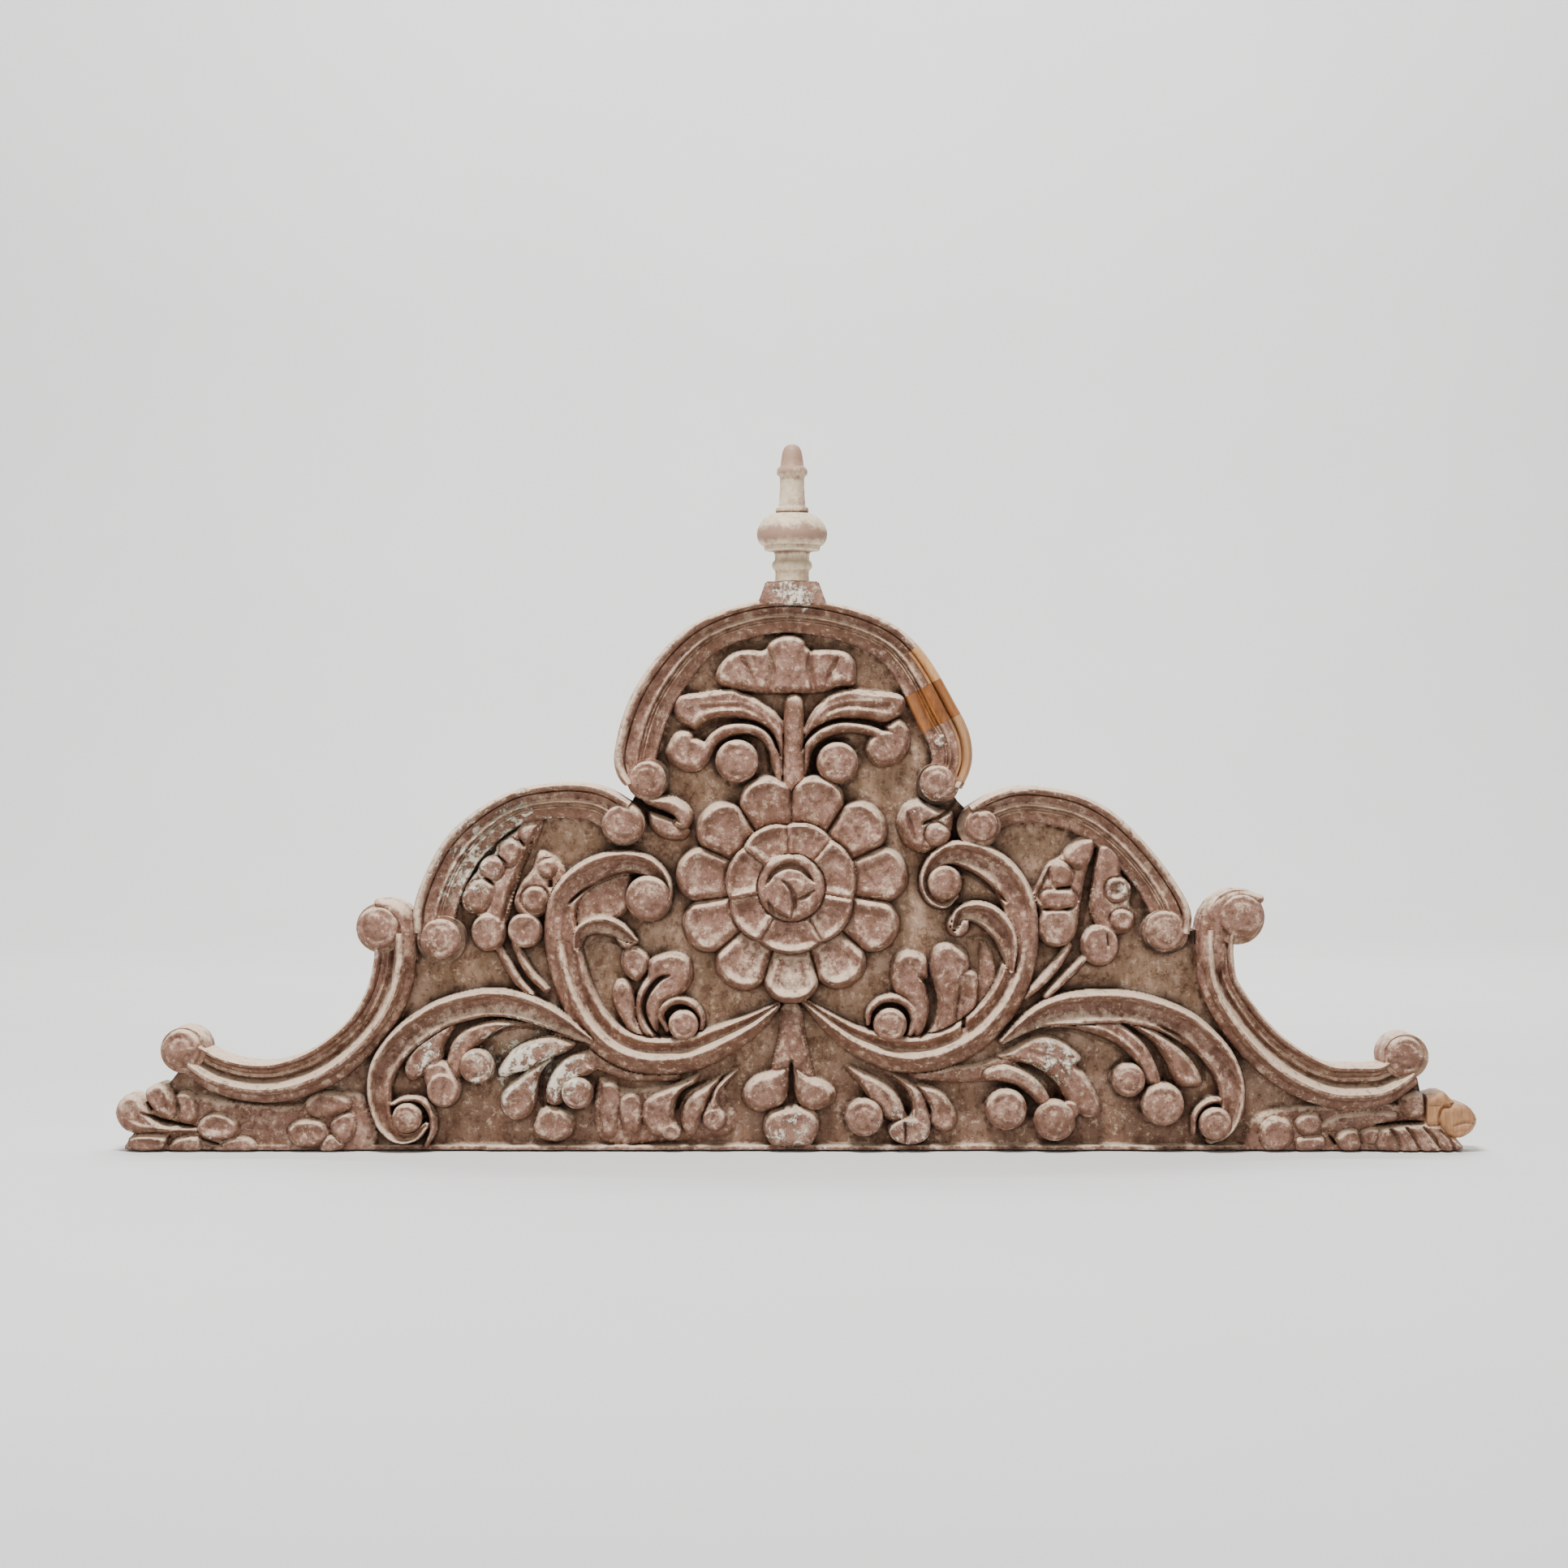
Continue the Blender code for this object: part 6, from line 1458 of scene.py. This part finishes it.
def makeFloor():
    steps = 16
    line = [(studio["front"], studio["floor"]), (studio["back"] - studio["turn"], studio["floor"])]
    for k in range(1, steps + 1):
        a = math.pi / 2 * k / steps
        line.append((studio["back"] - studio["turn"] + studio["turn"] * math.sin(a),
                     studio["floor"] + studio["turn"] * (1 - math.cos(a))))
    line.append((studio["back"], studio["high"]))
    half = studio["wide"] / 2
    verts = [(side, y, z) for y, z in line for side in (-half, half)]
    faces = [(2 * k, 2 * k + 1, 2 * k + 3, 2 * k + 2) for k in range(len(line) - 1)]
    mesh = bpy.data.meshes.new("floor")
    mesh.from_pydata(verts, [], faces)
    surface = Finish("paleFloor")
    cloud = surface.noise(0.7, 3.0)
    surface.finish(surface.mix(cloud.ramp(.3, .7), tint(230, 230, 228), tint(235, 235, 233)), .8, None)
    made = newObject("floor", mesh, surface.material)
    mesh.shade_smooth()
    return made


makeFloor()

lights = dict(
    key=dict(place=(-0.35, -1.15, 2.9), aim=(0, 0, .25), wide=1.1, high=0.45, watts=143),
    fill=dict(place=(1.6, -3.4, 1.2), aim=(0, 0, .25), wide=2.4, high=1.8, watts=13),
    side=dict(place=(-2.6, -1.6, 1.3), aim=(0, 0, .25), wide=1.0, high=1.2, watts=10),
    wall=dict(place=(0, 2.2, 4.6), aim=(0, 5.6, .9), wide=5.0, high=1.0, watts=420),
    back=dict(place=(1.8, 2.6, 2.4), aim=(0, 0, .25), wide=1.2, high=0.8, watts=16),
)
for name, given in lights.items():
    data = bpy.data.lights.new(name, "AREA")
    data.shape, data.energy = "RECTANGLE", given["watts"]
    data.size, data.size_y = given["wide"], given["high"]
    lamp = bpy.data.objects.new(name, data)
    lamp.location = given["place"]
    lamp.rotation_euler = (Vector(given["aim"]) - Vector(given["place"])).to_track_quat("-Z", "Y").to_euler()
    bpy.context.scene.collection.objects.link(lamp)
world = bpy.data.worlds.new("studio")
bpy.context.scene.world = world
world.use_nodes = True
world.node_tree.nodes["Background"].inputs["Color"].default_value = (1, .98, .95, 1)
world.node_tree.nodes["Background"].inputs["Strength"].default_value = .19

# Straight on and level, as the photograph was taken
view = dict(distance=3.0, plane=-0.025, x=966, y=966, halfAngle=13.97)
camera = bpy.data.cameras.new("camera")
camera.sensor_width = 36
camera.lens = 18 / math.tan(math.radians(view["halfAngle"]))
cameraObject = bpy.data.objects.new("camera", camera)
cameraObject.location = (toX(view["x"]), view["plane"] - view["distance"], toZ(drawing["base"] - view["y"]))
cameraObject.rotation_euler = (math.radians(90), 0, 0)
bpy.context.scene.collection.objects.link(cameraObject)
bpy.context.scene.camera = cameraObject
